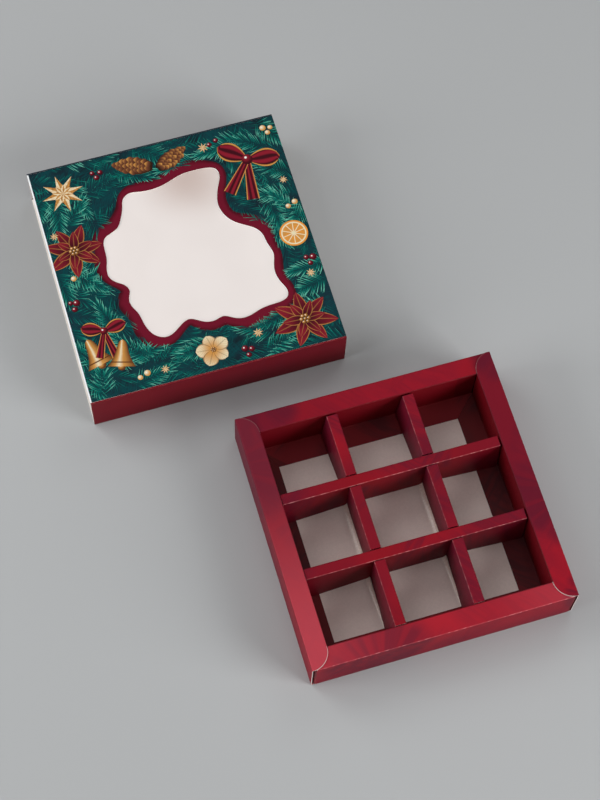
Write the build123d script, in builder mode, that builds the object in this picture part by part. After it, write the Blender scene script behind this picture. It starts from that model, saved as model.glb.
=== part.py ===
from build123d import *
import os

# Sweet box for nine sweets: a tray of folded board with a drop-in grid of dividers,
# and the open-ended sleeve that slides over it, taken off and laid beside the tray.
# Millimetres. Origin at the centre of the tray's underside, +Z up,
# +X along the sleeve's open ends, +Y towards the back.

# Board and folds
board = 0.45  # thickness of the folding board
fold_radius = 0.8  # outside radius of a fold in the tray
fold_lead = 0.45  # flat board between the end of a fold and the next panel's edge

# Tray
tray_length = 144.0  # along X, outside
tray_width = 144.0  # along Y, outside
tray_height = 27.5
rim_width = 11.0  # flat top of each hollow wall
lap_bulge = 3.3  # how far the rounded end of a side rim stands out from its chord
lap_gap = 0.05  # between the two rims where one lies on the other
wall_end_gap = 0.3  # a side wall stops this short of the front and back faces
corner_slit = 0.85  # open slit between a side wall and the corner tab behind it
inner_corner_gap = 0.3  # between the ends of two inner walls
tab_length = 22.0  # corner tab, from the front or back face into the side wall
near_flap_width = 7.4  # floor flaps of the front and left walls
far_flap_width = 12.2  # floor flaps of the back and right walls
flap_gap = 0.08  # each flap's mitre stops this short of the corner line

# Dividers
divider_top_width = 6.0
divider_foot_width = 7.0
divider_fold_radius = 0.7
divider_drop = 0.9  # top of the grid below the top of the rim
divider_seat_gap = 0.05  # between a strip's foot and the floor flap that it stands on
near_end_gap = 0.3  # between a strip's front or left end and the wall
far_end_gap = 1.0  # between its back or right end and the wall
end_flare = 1.6  # how far each foot spreads at a strip's free end
lap_side_gap = 0.15  # on each side of a strip in another strip's slot
lap_depth_gap = 0.1  # between the bottoms of two slots where strips cross
slot_share = 0.5  # share of a strip's height that a slot takes

# Sleeve
sleeve_length = 143.0  # along X
sleeve_side_clearance = 0.35  # between the tray and each side panel
sleeve_height_clearance = 0.5  # between the tray and the top panel
crease_gap = 0.12  # between a crease's bead and the panel that turns on it
glue_flap_width = 14.0
glue_flap_taper = 5.0  # how much shorter each end of the glue flap is at its free edge
film_thickness = 0.12
film_margin = 7.0  # glued border of the film round the window
window_size = 96.0  # nominal size of the wavy window
window_shift = 2.0  # window's centre from the panel's centre, along X
sleeve_offset_x = -71.9  # centre of the sleeve from the centre of the tray
sleeve_standoff = 28.7  # clear space between the tray's back and the sleeve's front

# The window's wavy edge, as shares of half the window's size, anticlockwise from the right
window_edge_shares = [
    (0.90, 0.00), (0.84, 0.10), (0.71, 0.19), (0.60, 0.28), (0.53, 0.40), (0.51, 0.52),
    (0.53, 0.63), (0.58, 0.76), (0.63, 0.89), (0.61, 0.98), (0.52, 1.02), (0.36, 1.03),
    (0.21, 1.02), (0.08, 0.98), (-0.04, 0.94), (-0.18, 0.92), (-0.33, 0.93), (-0.45, 0.94),
    (-0.53, 0.89), (-0.57, 0.78), (-0.62, 0.65), (-0.69, 0.54), (-0.79, 0.49), (-0.87, 0.44),
    (-0.90, 0.34), (-0.91, 0.18), (-0.94, 0.06), (-0.94, -0.05), (-0.88, -0.13), (-0.79, -0.20),
    (-0.76, -0.28), (-0.79, -0.37), (-0.79, -0.46), (-0.74, -0.57), (-0.71, -0.71), (-0.66, -0.85),
    (-0.58, -0.93), (-0.49, -0.95), (-0.39, -0.91), (-0.29, -0.84), (-0.20, -0.81), (-0.11, -0.85),
    (-0.01, -0.90), (0.09, -0.90), (0.18, -0.88), (0.27, -0.92), (0.37, -0.96), (0.49, -0.95),
    (0.61, -0.91), (0.75, -0.89), (0.87, -0.88), (0.95, -0.84), (0.97, -0.76), (0.93, -0.65),
    (0.90, -0.51), (0.92, -0.39), (0.95, -0.27), (0.92, -0.13),
]

overrun = 1.0  # how far a cutter runs past what it cuts

# Worked out from the sizes above
fold_reach = fold_radius + fold_lead
half_length = tray_length / 2
half_width = tray_width / 2
inner_half_length = half_length - rim_width
inner_half_width = half_width - rim_width
end_wall_height = tray_height - board - lap_gap
tab_face = half_length - board - corner_slit
flap_top = 2 * board
inner_wall_foot = board + fold_reach

divider_foot = flap_top + divider_seat_gap
divider_top = tray_height - divider_drop
divider_height = divider_top - divider_foot
lap_height = divider_foot + divider_height * slot_share
divider_lap_width = divider_foot_width + (divider_top_width - divider_foot_width) * slot_share
cross_divider_x = (2 * inner_half_length - 2 * divider_top_width) / 6 + divider_top_width / 2
long_divider_y = (2 * inner_half_width - 2 * divider_top_width) / 6 + divider_top_width / 2

sleeve_inner_width = tray_width + 2 * sleeve_side_clearance
sleeve_inner_height = tray_height + sleeve_height_clearance
sleeve_offset_y = half_width + sleeve_standoff + board + sleeve_inner_width / 2
sleeve_front_crease = sleeve_offset_y - sleeve_inner_width / 2
sleeve_back_crease = sleeve_offset_y + sleeve_inner_width / 2
sleeve_top_crease = board + sleeve_inner_height
panel_width = sleeve_inner_width - 2 * (board + crease_gap)

os.makedirs("parts", exist_ok=True)


def save(piece, name):
    """Label a finished piece and write it under its own name."""
    piece.part.label = name
    export_step(piece.part, f"parts/{name}.step")


def section_plane(inward, half_side):
    """Plane across a tray wall: X points into the tray from the wall's outer face, Y is up."""
    return Plane(origin=inward * -half_side, x_dir=inward, z_dir=inward.cross(Vector(0, 0, 1)))


def plan_plane(inward, half_side, level):
    """Plane seen from above a tray wall: X points into the tray, Y runs along the wall."""
    origin = inward * -half_side + Vector(0, 0, level)
    return Plane(origin=origin, x_dir=inward, z_dir=(0, 0, 1))


# Tray floor
with BuildPart() as tray_base:
    with BuildSketch():
        Rectangle(tray_length - 2 * fold_reach, tray_width - 2 * fold_reach)
    extrude(amount=board)
save(tray_base, "tray_base")


def rolled_wall(inward, half_side, height, half_run, inner_half_run, lapped):
    """A hollow wall of one bent strip: fold at the floor, outer wall, rim and inner wall."""
    with BuildPart() as wall:
        with BuildSketch(section_plane(inward, half_side)):
            with BuildLine():
                FilletPolyline(
                    (fold_reach, 0),
                    (0, 0),
                    (0, height),
                    (rim_width, height),
                    (rim_width, inner_wall_foot),
                    radius=fold_radius,
                )
                Line((rim_width, inner_wall_foot), (rim_width - board, inner_wall_foot))
                FilletPolyline(
                    (rim_width - board, inner_wall_foot),
                    (rim_width - board, height - board),
                    (board, height - board),
                    (board, board),
                    (fold_reach, board),
                    radius=fold_radius - board,
                )
                Line((fold_reach, board), (fold_reach, 0))
            make_face()
        extrude(amount=half_run, both=True)

        # the inner wall is shorter than the rim, so that it ends at the inner corners
        end_run = half_run - inner_half_run + inner_corner_gap + overrun
        inner_end = inner_half_run - inner_corner_gap
        with BuildSketch(plan_plane(inward, half_side, -overrun)):
            for side in (1, -1):
                with Locations(((fold_reach + rim_width + overrun) / 2, side * (inner_end + end_run / 2))):
                    Rectangle(rim_width + overrun - fold_reach, end_run)
        extrude(amount=height - board + overrun, mode=Mode.SUBTRACT)

        # a side rim ends in a rounded lap that lies on the front or back rim
        if lapped:
            outer_corner = inner_half_run + rim_width
            reach = lap_bulge / 2**0.5
            for side in (1, -1):
                with BuildSketch(plan_plane(inward, half_side, height - fold_radius)):
                    with BuildLine():
                        ThreePointArc(
                            (rim_width, side * inner_half_run),
                            (rim_width / 2 + reach, side * (inner_half_run + rim_width / 2 + reach)),
                            (0, side * outer_corner),
                        )
                        Polyline(
                            (0, side * outer_corner),
                            (0, side * (outer_corner + overrun)),
                            (rim_width + overrun, side * (outer_corner + overrun)),
                            (rim_width + overrun, side * inner_half_run),
                            (rim_width, side * inner_half_run),
                        )
                    make_face()
                extrude(amount=fold_radius + overrun, mode=Mode.SUBTRACT)
    return wall


def floor_flap(inward, half_side, inner_half_run, flap_width, next_widths):
    """The foot of a rolled wall: it folds in at the floor and is mitred to meet the next flaps."""
    with BuildPart() as flap:
        with BuildSketch(section_plane(inward, half_side)):
            with BuildLine():
                FilletPolyline(
                    (rim_width - board, inner_wall_foot),
                    (rim_width - board, board),
                    (rim_width + flap_width, board),
                    radius=fold_radius,
                )
                Line((rim_width + flap_width, board), (rim_width + flap_width, flap_top))
                FilletPolyline(
                    (rim_width + flap_width, flap_top),
                    (rim_width, flap_top),
                    (rim_width, inner_wall_foot),
                    radius=fold_radius - board,
                )
                Line((rim_width, inner_wall_foot), (rim_width - board, inner_wall_foot))
            make_face()
        extrude(amount=inner_half_run, both=True)

        flap_end = inner_half_run - flap_gap
        first_end = flap_end - next_widths[0]
        last_end = flap_end - next_widths[1]
        with BuildSketch(plan_plane(inward, half_side, 0)):
            with BuildLine():
                Polyline(
                    (rim_width - board, -flap_end),
                    (rim_width, -flap_end),
                    (rim_width + flap_width, -first_end),
                    (rim_width + flap_width, last_end),
                    (rim_width, flap_end),
                    (rim_width - board, flap_end),
                    close=True,
                )
            make_face()
        extrude(amount=inner_wall_foot, mode=Mode.INTERSECT)
    return flap


# Each wall: name, direction into the tray, half the tray across it, height, half its own run,
# half the clear run between the inner corners, whether its rim laps, its flap's width,
# and the widths of the flaps at its right and left as seen from outside
end_run = tab_face - fold_reach
side_run = half_width - wall_end_gap
near = near_flap_width
far = far_flap_width
walls = [
    ("front", Vector(0, 1, 0), half_width, end_wall_height, end_run, inner_half_length, False, near, (far, near)),
    ("back", Vector(0, -1, 0), half_width, end_wall_height, end_run, inner_half_length, False, far, (near, far)),
    ("left", Vector(1, 0, 0), half_length, tray_height, side_run, inner_half_width, True, near, (near, far)),
    ("right", Vector(-1, 0, 0), half_length, tray_height, side_run, inner_half_width, True, far, (far, near)),
]
for name, inward, half_side, height, run, inner_run, lapped, flap_width, next_widths in walls:
    save(rolled_wall(inward, half_side, height, run, inner_run, lapped), f"{name}_wall")
    save(floor_flap(inward, half_side, inner_run, flap_width, next_widths), f"{name}_floor_flap")


def corner_tab(side_x, side_y):
    """A tab that folds back from the end of the front or back wall into the hollow side wall."""
    with BuildPart() as tab:
        with BuildSketch(Plane.XY.offset(fold_reach)):
            with BuildLine():
                FilletPolyline(
                    (side_x * (tab_face - fold_reach), side_y * half_width),
                    (side_x * tab_face, side_y * half_width),
                    (side_x * tab_face, side_y * (half_width - tab_length)),
                    radius=fold_radius,
                )
                Line(
                    (side_x * tab_face, side_y * (half_width - tab_length)),
                    (side_x * (tab_face - board), side_y * (half_width - tab_length)),
                )
                FilletPolyline(
                    (side_x * (tab_face - board), side_y * (half_width - tab_length)),
                    (side_x * (tab_face - board), side_y * (half_width - board)),
                    (side_x * (tab_face - fold_reach), side_y * (half_width - board)),
                    radius=fold_radius - board,
                )
                Line(
                    (side_x * (tab_face - fold_reach), side_y * (half_width - board)),
                    (side_x * (tab_face - fold_reach), side_y * half_width),
                )
            make_face()
        extrude(amount=end_wall_height - 2 * fold_reach)
    return tab


for end_name, side_y in (("front", -1), ("back", 1)):
    for side_name, side_x in (("left", -1), ("right", 1)):
        save(corner_tab(side_x, side_y), f"{end_name}_{side_name}_tab")


def strip_section(plane, spread):
    """Section of a folded strip: a hollow ridge with open feet, each foot spread outwards."""
    foot = divider_foot_width / 2 + spread
    with BuildSketch(plane) as section:
        with BuildLine():
            Polyline(
                (-foot, divider_foot),
                (-divider_top_width / 2, divider_top),
                (divider_top_width / 2, divider_top),
                (foot, divider_foot),
                close=True,
            )
        make_face()
        fillet(section.vertices().group_by(Axis.Y)[-1], divider_fold_radius)
        with BuildSketch(mode=Mode.SUBTRACT) as hollow:
            with BuildLine():
                Polyline(
                    (board - foot, divider_foot),
                    (board - divider_top_width / 2, divider_top - board),
                    (divider_top_width / 2 - board, divider_top - board),
                    (foot - board, divider_foot),
                    close=True,
                )
            make_face()
            fillet(hollow.vertices().group_by(Axis.Y)[-1], divider_fold_radius - board)
    return section.sketch


def divider(plane, first_end, last_end, crossing, slot_width, slots_down):
    """A strip folded into a hollow ridge, slotted half through where it crosses two others."""
    with BuildPart() as strip:
        # straight from beyond one crossing to beyond the other, then flared to each free end
        straight_end = crossing + slot_width / 2 + overrun
        extrude(strip_section(plane.offset(-straight_end), 0), amount=2 * straight_end)
        for straight, end in ((-straight_end, first_end), (straight_end, last_end)):
            sections = [strip_section(plane.offset(straight), 0), strip_section(plane.offset(end), end_flare)]
            loft(sections, ruled=True)

        if slots_down:
            slot_low = divider_foot - overrun
            slot_high = lap_height + lap_depth_gap / 2
        else:
            slot_low = lap_height - lap_depth_gap / 2
            slot_high = divider_top + overrun
        cut_reach = divider_foot_width / 2 + overrun
        across = Plane(origin=plane.origin, x_dir=plane.z_dir, z_dir=-plane.x_dir)
        with BuildSketch(across):
            for place in (-crossing, crossing):
                with Locations((place, (slot_low + slot_high) / 2)):
                    Rectangle(slot_width, slot_high - slot_low)
        extrude(amount=cut_reach, both=True, mode=Mode.SUBTRACT)
    return strip


# Two strips from front to back, slotted from the top, and two long strips that drop over them
cross_slot_width = divider_lap_width + 2 * lap_side_gap
long_slot_width = divider_foot_width + 2 * lap_side_gap
back_end = far_end_gap - inner_half_width
front_end = inner_half_width - near_end_gap
for name, place in (("left", -cross_divider_x), ("right", cross_divider_x)):
    strip_plane = Plane(origin=(place, 0, 0), x_dir=(1, 0, 0), z_dir=(0, -1, 0))
    strip = divider(strip_plane, back_end, front_end, long_divider_y, cross_slot_width, False)
    save(strip, f"{name}_cross_divider")
left_end = near_end_gap - inner_half_length
right_end = inner_half_length - far_end_gap
for name, place in (("front", -long_divider_y), ("rear", long_divider_y)):
    strip_plane = Plane(origin=(0, place, 0), x_dir=(0, 1, 0), z_dir=(1, 0, 0))
    strip = divider(strip_plane, left_end, right_end, cross_divider_x, long_slot_width, True)
    save(strip, f"{name}_long_divider")

# Sleeve floor
with BuildPart() as sleeve_bottom_panel:
    with BuildSketch():
        with Locations((sleeve_offset_x, sleeve_offset_y)):
            Rectangle(sleeve_length, panel_width)
    extrude(amount=board)
save(sleeve_bottom_panel, "sleeve_bottom_panel")

# Glue flap, stuck on the sleeve's floor along its back edge
with BuildPart() as sleeve_glue_flap:
    flap_back = sleeve_offset_y + panel_width / 2
    with BuildSketch(Plane.XY.offset(board)):
        with BuildLine():
            Polyline(
                (sleeve_offset_x - sleeve_length / 2, flap_back),
                (sleeve_offset_x - sleeve_length / 2 + glue_flap_taper, flap_back - glue_flap_width),
                (sleeve_offset_x + sleeve_length / 2 - glue_flap_taper, flap_back - glue_flap_width),
                (sleeve_offset_x + sleeve_length / 2, flap_back),
                close=True,
            )
        make_face()
    extrude(amount=board)
save(sleeve_glue_flap, "sleeve_glue_flap")


def side_panel(crease_y, outward):
    """A side of the sleeve, with the bead of a crease along its lower and upper edges."""
    with BuildPart() as panel:
        sleeve_middle = Plane(origin=(sleeve_offset_x, crease_y, 0), x_dir=(0, 1, 0), z_dir=(1, 0, 0))
        with BuildSketch(sleeve_middle):
            with Locations((outward * board / 2, board + sleeve_inner_height / 2)):
                Rectangle(board, sleeve_inner_height)
            with Locations((0, board), (0, sleeve_top_crease)):
                Circle(board)
        extrude(amount=sleeve_length / 2, both=True)
    return panel


save(side_panel(sleeve_front_crease, -1), "sleeve_front_panel")
save(side_panel(sleeve_back_crease, 1), "sleeve_back_panel")

# Sleeve top with its wavy window
window_x = sleeve_offset_x + window_shift
window_points = [
    (window_x + share_x * window_size / 2, sleeve_offset_y + share_y * window_size / 2)
    for share_x, share_y in window_edge_shares
]
with BuildPart() as sleeve_top_panel:
    with BuildSketch(Plane.XY.offset(sleeve_top_crease)):
        with Locations((sleeve_offset_x, sleeve_offset_y)):
            Rectangle(sleeve_length, panel_width)
        with BuildSketch(mode=Mode.SUBTRACT) as window:
            with BuildLine():
                Spline(*window_points, periodic=True)
            make_face()
    extrude(amount=board)
save(sleeve_top_panel, "sleeve_top_panel")

# Clear film glued under the window
window_box = window.sketch.bounding_box()
with BuildPart() as window_film:
    with BuildSketch(Plane.XY.offset(sleeve_top_crease - film_thickness)):
        with Locations((window_box.center().X, window_box.center().Y)):
            Rectangle(window_box.size.X + 2 * film_margin, window_box.size.Y + 2 * film_margin)
    extrude(amount=film_thickness)
save(window_film, "window_film")
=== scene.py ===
import math
import random

import bmesh
import bpy
from bmesh.types import BMEdge, BMVert
from bpy.props import FloatProperty, FloatVectorProperty, IntProperty, PointerProperty
from bpy.types import Operator, Panel, PropertyGroup
from mathutils import Color, Matrix, Vector
from mathutils.bvhtree import BVHTree
from mathutils.kdtree import KDTree


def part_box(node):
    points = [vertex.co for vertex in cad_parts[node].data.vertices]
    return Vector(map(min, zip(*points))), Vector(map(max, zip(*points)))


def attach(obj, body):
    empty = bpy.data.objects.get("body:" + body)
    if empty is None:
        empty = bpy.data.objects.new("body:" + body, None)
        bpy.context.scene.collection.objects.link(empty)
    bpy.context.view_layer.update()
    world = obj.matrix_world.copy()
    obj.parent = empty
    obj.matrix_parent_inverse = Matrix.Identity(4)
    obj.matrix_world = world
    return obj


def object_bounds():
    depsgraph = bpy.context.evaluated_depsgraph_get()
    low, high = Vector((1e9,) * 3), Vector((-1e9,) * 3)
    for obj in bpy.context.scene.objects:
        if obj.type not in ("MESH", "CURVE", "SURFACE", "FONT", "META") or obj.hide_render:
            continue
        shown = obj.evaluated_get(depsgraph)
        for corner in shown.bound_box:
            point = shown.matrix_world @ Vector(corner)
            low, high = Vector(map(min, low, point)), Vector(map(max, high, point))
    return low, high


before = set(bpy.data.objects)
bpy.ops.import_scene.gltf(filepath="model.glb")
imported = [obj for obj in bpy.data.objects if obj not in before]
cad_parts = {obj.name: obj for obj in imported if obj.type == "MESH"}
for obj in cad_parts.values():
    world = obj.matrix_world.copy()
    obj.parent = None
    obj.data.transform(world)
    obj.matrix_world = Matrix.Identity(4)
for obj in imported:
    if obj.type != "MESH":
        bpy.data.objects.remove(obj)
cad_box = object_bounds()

bl_info = {
    "name": "Windowed sweet box",
    "version": (1, 0, 0),
    "blender": (4, 5, 0),
    "location": "View3D > Sidebar > Sweet Box",
    "description": "Print, board finishes and studio stage for a folded sweet box and its windowed sleeve",
    "category": "Object",
}

MM = 0.001

# The folding board, as the solids have it
BOARD = 0.45 * MM
RIM_WIDTH = 11.0 * MM
CELLS_ACROSS = 3
LAP_BULGE = 3.3 * MM
LAP_EDGE = (0.1 * MM, 0.4 * MM)
FREE_END = 3.0 * MM
LEFT_MARGIN = 0.8 * MM

# The feet that curl out from under the cross dividers
FOOT_WIDTH = 2.3 * MM
FOOT_RISE = 1.6 * MM
FOOT_GAP = 0.1 * MM
FOOT_COLUMNS = 8
FOOT_ROWS = 12
FOOT_TIP_START = 0.8
FOOT_TIP_RISE = 0.8
FRONT_FOOT_SHARE = 0.35
MIDDLE_FOOT_SHARE = 1.2

# Surface detail: how fine it is, in features per metre, and how deep
GRAIN_SCALE = 2600.0
FIBRE_SCALE = 900.0
CRACK_SCALE = 420.0
PAPER_GRAIN_SCALE = 1500.0
BOARD_GRAIN = 0.02 * MM
INK_GRAIN = 0.01 * MM
FIBRE_DEPTH = 0.03 * MM

# Soft clouds in the colours, in features per metre
TRAY_CLOUD_SCALE = 12.0
DIVIDER_CLOUD_SCALE = 16.0
BOARD_CLOUD_SCALE = 34.0
SLEEVE_CLOUD_SCALE = 7.0
GROUND_CLOUD_SCALE = 60.0
BORDER_CLOUD_SCALE = 130.0
NEEDLE_CLOUD_SCALE = 700.0
GOLD_CLOUD_SCALE = 300.0
PAPER_CLOUD_SCALE = 2.2

# Roughness of the print's satin coat, and of its gold and ribbons
SATIN = 0.42
SHEEN = 0.38

BLACK = (0, 0, 0, 1)
HIGHLIGHT = (0.9, 0.86, 0.8, 1)

# How squarely a surface must look along an axis: to count as level, as looking that way, and as flat
LEVEL = 0.5
SQUARE = 0.7
FLAT = 0.9
# A surface that looks less squarely than this along every axis is on the round of a fold
FOLD_ROUND = (0.80, 0.93)
# A wall's outer side looks away from the tray's middle by more than this, its inner side towards it
WALL_OUTWARD = 20 * MM
# The inner sides of a divider look towards its middle by more than this
DIVIDER_INWARD = 0.2 * MM

# Where a painted shade or a painted sheen on the tray and its dividers begins and where it is full, from the
# tray's middle
LEFT_RIM_SHADE = (-60 * MM, 40 * MM)
LEFT_RIM_SHEEN = (-40 * MM, 60 * MM)
RIGHT_RIM_SHADE = (-50 * MM, -25 * MM)
BACK_RIM_SHADE = (30 * MM, 55 * MM)
FRONT_RIM_SHEEN = (20 * MM, 66 * MM)
LONG_DIVIDER_SHADE = (12 * MM, 55 * MM)
CROSS_DIVIDER_SHADE = (24 * MM, 58 * MM)
CROSS_SHADE_MIDDLE = -6 * MM
# How high the painted shade on the outer walls reaches, and past which places the inner folds and the right
# inside lie
OUTER_SHADE_HEIGHT = 26 * MM
INNER_FOLDS = -60 * MM
RIGHT_INSIDE = 50 * MM

WALLS = ("front_wall", "back_wall", "left_wall", "right_wall")
SIDE_WALLS = ("left_wall", "right_wall")
FLOOR_FLAPS = ("front_floor_flap", "back_floor_flap", "left_floor_flap", "right_floor_flap")
TABS = ("front_left_tab", "front_right_tab", "back_left_tab", "back_right_tab")
CROSS_DIVIDERS = ("left_cross_divider", "right_cross_divider")
LONG_DIVIDERS = ("front_long_divider", "rear_long_divider")

# The print lies on the sleeve's top in thin layers
INK = 0.004 * MM
MERGE = 0.001 * MM
FIGURE_LAYERS = ("across", "along", "tone")
BORDER_LAYER = 0.004 * MM
FIR_BEHIND_LAYER = 0.012 * MM
FIR_LAYER = 0.062 * MM
BLOSSOM_LAYER = 0.128 * MM
FRONT_LAYER = 0.13 * MM

# The border's steps out from the window, and its two swells: how far, how many times round, and where
BORDER_STEPS = 4
BORDER_SWELLS = ((0.28, 5, 0.6), (0.16, 11, 0))

# Fir sprays: their length in needle lengths, their bow as a share of it, their turns in degrees from the
# way to the middle, and how far past the panel's edge they may start
SPRAY_STEP = 0.0006 * MM
SPRAY_TRIES = 30
SPRAY_LENGTHS = (1.5, 2.3)
SPRAY_BOW = 0.22
SPRAY_TURNS = (25, 105)
SPRAY_OVERHANG = 1.04
FIR_BEHIND_TONES = (0.0, 0.16)
FIR_TONES = (0.4, 0.95)

# Fir needles: lengths, bends, cuts and fullness are shares, the pitch is in needle widths, and a needle's
# lean in degrees falls from the foot of the twig to its tip
NEEDLE_SPREAD = 0.004 * MM
NEEDLE_RIDGE = 0.012 * MM
NEEDLE_CREASES = (0.35, 0.7)
NEEDLE_FULLNESS = 0.82
NEEDLE_PITCH = 1.9
NEEDLE_CUTS = (1.0, 0.75, 0.5)
NEEDLE_LENGTHS = (0.78, 1.05)
NEEDLE_REACHES = (0.8, 1.15)
NEEDLE_TAPER = 0.3
NEEDLE_BENDS = (0.02, 0.2)
NEEDLE_LEAN = 62
NEEDLE_LEAN_FALL = 44
NEEDLE_LEAN_SPREAD = 9
NEEDLE_TONE_SPREAD = 0.3
NEEDLE_MARGIN = 4.0 * MM
TWIG_MARGIN = 4.8 * MM
SPRAY_MARGIN = 6.0 * MM
FIR_BEHIND_SHARE = 0.6

# Large plumes on the tray's rims, in millimetres from its middle: how far right and back, and how long
# the barbs are from their root, which lies beyond the tray's edge
PLUMES = (
    (-30, -66, 36),
    (-50, 66, 36),
    (-66, 36, 40),
    (66, -12, 35),
    (66, -60, 28),
    (66, 60, 28),
)
PLUME_ROOT_SHARE = 1.32
PLUME_EDGE_SHARES = (0.8, 1.1)
PLUME_LEVEL = 28 * MM
PLUME_FRAY = 18 * MM
BARB_SCALE = 5.0

# Feathery strokes between the plumes, in soft patches. Each kind has its turn and its fineness across
LEANING_STROKES = (0.75, 420.0)
CROSSING_STROKES = (2.3, 340.0)
LEANING_SCALE = 24.0
CROSSING_SCALE = 28.0
CROSSING_SHIFT = (0.4, 0.3, 0.2)
STROKE_STRETCH = 9
STROKE_SWAY = 14 * MM
SWAY_SCALE = 26.0

# Needles in shadow on the sleeve's ground: the turn of each kind and the scale of its patches
GROUND_NEEDLES = ((0.5, 70.0), (1.9, 90.0), (2.7, 80.0))
GROUND_FINENESS = 1500.0

# Motifs of the print, in millimetres from the middle of the panel: how far right and back each one is, then
# its size and its turn in degrees, and whether a blossom is pale
STARS = (
    (-55, 55, 12.0, 8),
    (28, 62, 3.2, 0),
    (-66, 30, 2.6, 10),
    (66, 30, 2.6, 20),
    (26, -57, 3.0, 5),
    (-28, -64, 2.6, 12),
    (64, -30, 2.8, 0),
)
STAR_POINTS = 8
STAR_WAIST = 0.42
SMALL_STAR = 5.0
INNER_STAR_SHARE = 0.5
INNER_STAR_WAIST = 0.5

BLOSSOMS = (
    (-57.5, 18.5, 17.0, 20, False),
    (53, -56, 18.0, 0, False),
    (0, -60, 9.5, 12, True),
)
# Rings of petals: how many, their length as a share of the blossom's reach, their width as a share of that
MAROON_RINGS = ((7, 1.0, 0.44), (6, 0.68, 0.46))
PALE_RINGS = ((5, 1.0, 0.86),)
PETAL_LENGTHS = (0.92, 1.05)
PETAL_TURN_SPREAD = 5
# Steps up in layers of ink: from petal to petal, from ring to ring, and to the beads of the heart
PETAL_STEP = 0.35
RING_STEP = 3
HEART_STEP = 6
HEART_BEADS = 7
HEART_REACH_SHARE = 0.11
BEAD_SHARE = 0.07

BELLS = (
    (-60, -52, 17.0, 14),
    (-50, -56, 16.0, -16),
)
BELL_WIDTH_SHARE = 0.95
CLAPPER_SHARE = 0.13
CLAPPER_DROP_SHARE = 0.02

BOWS = (
    (-54, -33, 13.0, -6),
    (50, 48, 19.0, -24),
)
# Each part of a bow: its lean in degrees, and its length and width as shares of the bow's reach
BOW_PARTS = ((196, 1.35, 0.38), (164, 1.25, 0.38), (74, 0.98, 0.62), (-74, 0.98, 0.62))
KNOT_SHARE = 0.17

CONES = (
    (-12, 61, 20.0, 74),
    (8, 60, 18.0, -62),
)
CONE_ROWS = 10
CONE_WIDTH_SHARE = 0.52
# A cone's rows of scales: how far out and along they reach, and the room that one scale takes
CONE_REACH_SHARE = 0.27
CONE_RUN_SHARE = 0.92
SCALE_PITCH_SHARE = 0.075
SCALE_SHARES = (0.2, 0.19)
# A scale leans this many degrees more for each such share of the length that it lies aside
SCALE_LEAN = 2.2
SCALE_LEAN_SHARE = 0.085
SCALE_LEAN_SPREAD = 8

ORANGES = ((62, -4, 8.0, 10),)
# Clusters of berries: how far right and back, how many berries, and whether they are pale
BERRIES = (
    (18, -66, 3, False),
    (-34, 62, 3, False),
    (66, 14, 2, True),
    (-66, -14, 3, False),
    (-62, 2, 1, True),
    (34, 64, 2, False),
    (66, 64, 3, True),
    (-40, -64, 2, True),
    (66, -22, 3, False),
)
BERRY_REACH = 2.3
BERRY_RADII = (1.4, 2.0)
# How far back and to the left of its middle a berry is lit, as a share of its radius
BERRY_LIT_SHARE = 0.32

# The painted shade spot on the film, right of its middle and in from its back edge, the colours of the
# painted shade and of the painted reflection, and the film's waves
FILM_SPOT_RIGHT = 10 * MM
FILM_SPOT_INSET = 8 * MM
FILM_SPOT_EDGE = (6 * MM, 42 * MM)
FILM_SPOT_FRAY = 12 * MM
FILM_PAINTED_SHADE = (0.74, 0.61, 0.56, 1)
FILM_PAINTED_REFLECTION = (1.0, 0.93, 0.9, 1)
FILM_WAVE_SCALE = 24.0
FILM_WAVE_DEPTH = 0.4 * MM

FLOOR_DROP = 0.05 * MM
FLOOR_POINTS = 48
SKY_TINT = (0.99, 1.0, 1.0, 1)
SENSOR_WIDTH = 36.0
NEAREST_SEEN = 0.01
FARTHEST_SEEN = 20.0

# Each lamp: name, degrees round from the right, degrees up, share of the strongest lamp's power
LAMPS = (
    ("front_right_lamp", 315, 22, 1.0),
    ("left_lamp", 180, 22, 0.71),
    ("back_left_lamp", 135, 45, 0.275),
    ("low_back_left_lamp", 135, 22, 0.152),
    ("back_right_lamp", 45, 45, 0.155),
    ("front_lamp", 270, 35, 0.108),
    ("top_lamp", 0, 90, 0.145),
)


def screen(red, green, blue):
    """A colour as a screen shows it, 0 to 255 each, in the linear values that Blender works with."""
    return tuple(Color((red / 255, green / 255, blue / 255)).from_srgb_to_scene_linear())


def opaque(colour):
    """A colour with full alpha, as colour sockets take it."""
    return (*colour[:3], 1)


def darker(colour, share):
    """A colour at a share of its level, with full alpha."""
    return opaque([share * part for part in colour])


def colour_property(name, description, red, green, blue):
    """A colour that a user can change, with its default as a screen shows it."""
    return FloatVectorProperty(
        name=name,
        description=description,
        subtype="COLOR",
        min=0,
        max=1,
        default=screen(red, green, blue),
    )


def length_property(name, description, default, least=0):
    """A length that a user can change, in metres."""
    return FloatProperty(name=name, description=description, unit="LENGTH", min=least, default=default)


class Wire:
    """One output of a node, which can be used in sums."""

    def __init__(self, finish, socket):
        self.finish = finish
        self.socket = socket

    def other(self, output):
        """Another output of the same node."""
        return Wire(self.finish, self.socket.node.outputs[output])

    def __add__(self, value):
        return self.finish.maths("ADD", self, value)

    def __radd__(self, value):
        return self.finish.maths("ADD", value, self)

    def __sub__(self, value):
        return self.finish.maths("SUBTRACT", self, value)

    def __rsub__(self, value):
        return self.finish.maths("SUBTRACT", value, self)

    def __mul__(self, value):
        return self.finish.maths("MULTIPLY", self, value)

    def __rmul__(self, value):
        return self.finish.maths("MULTIPLY", value, self)

    def __abs__(self):
        return self.finish.maths("ABSOLUTE", self)

    def __gt__(self, value):
        return self.finish.maths("GREATER_THAN", self, value)

    def __lt__(self, value):
        return self.finish.maths("LESS_THAN", self, value)


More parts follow.
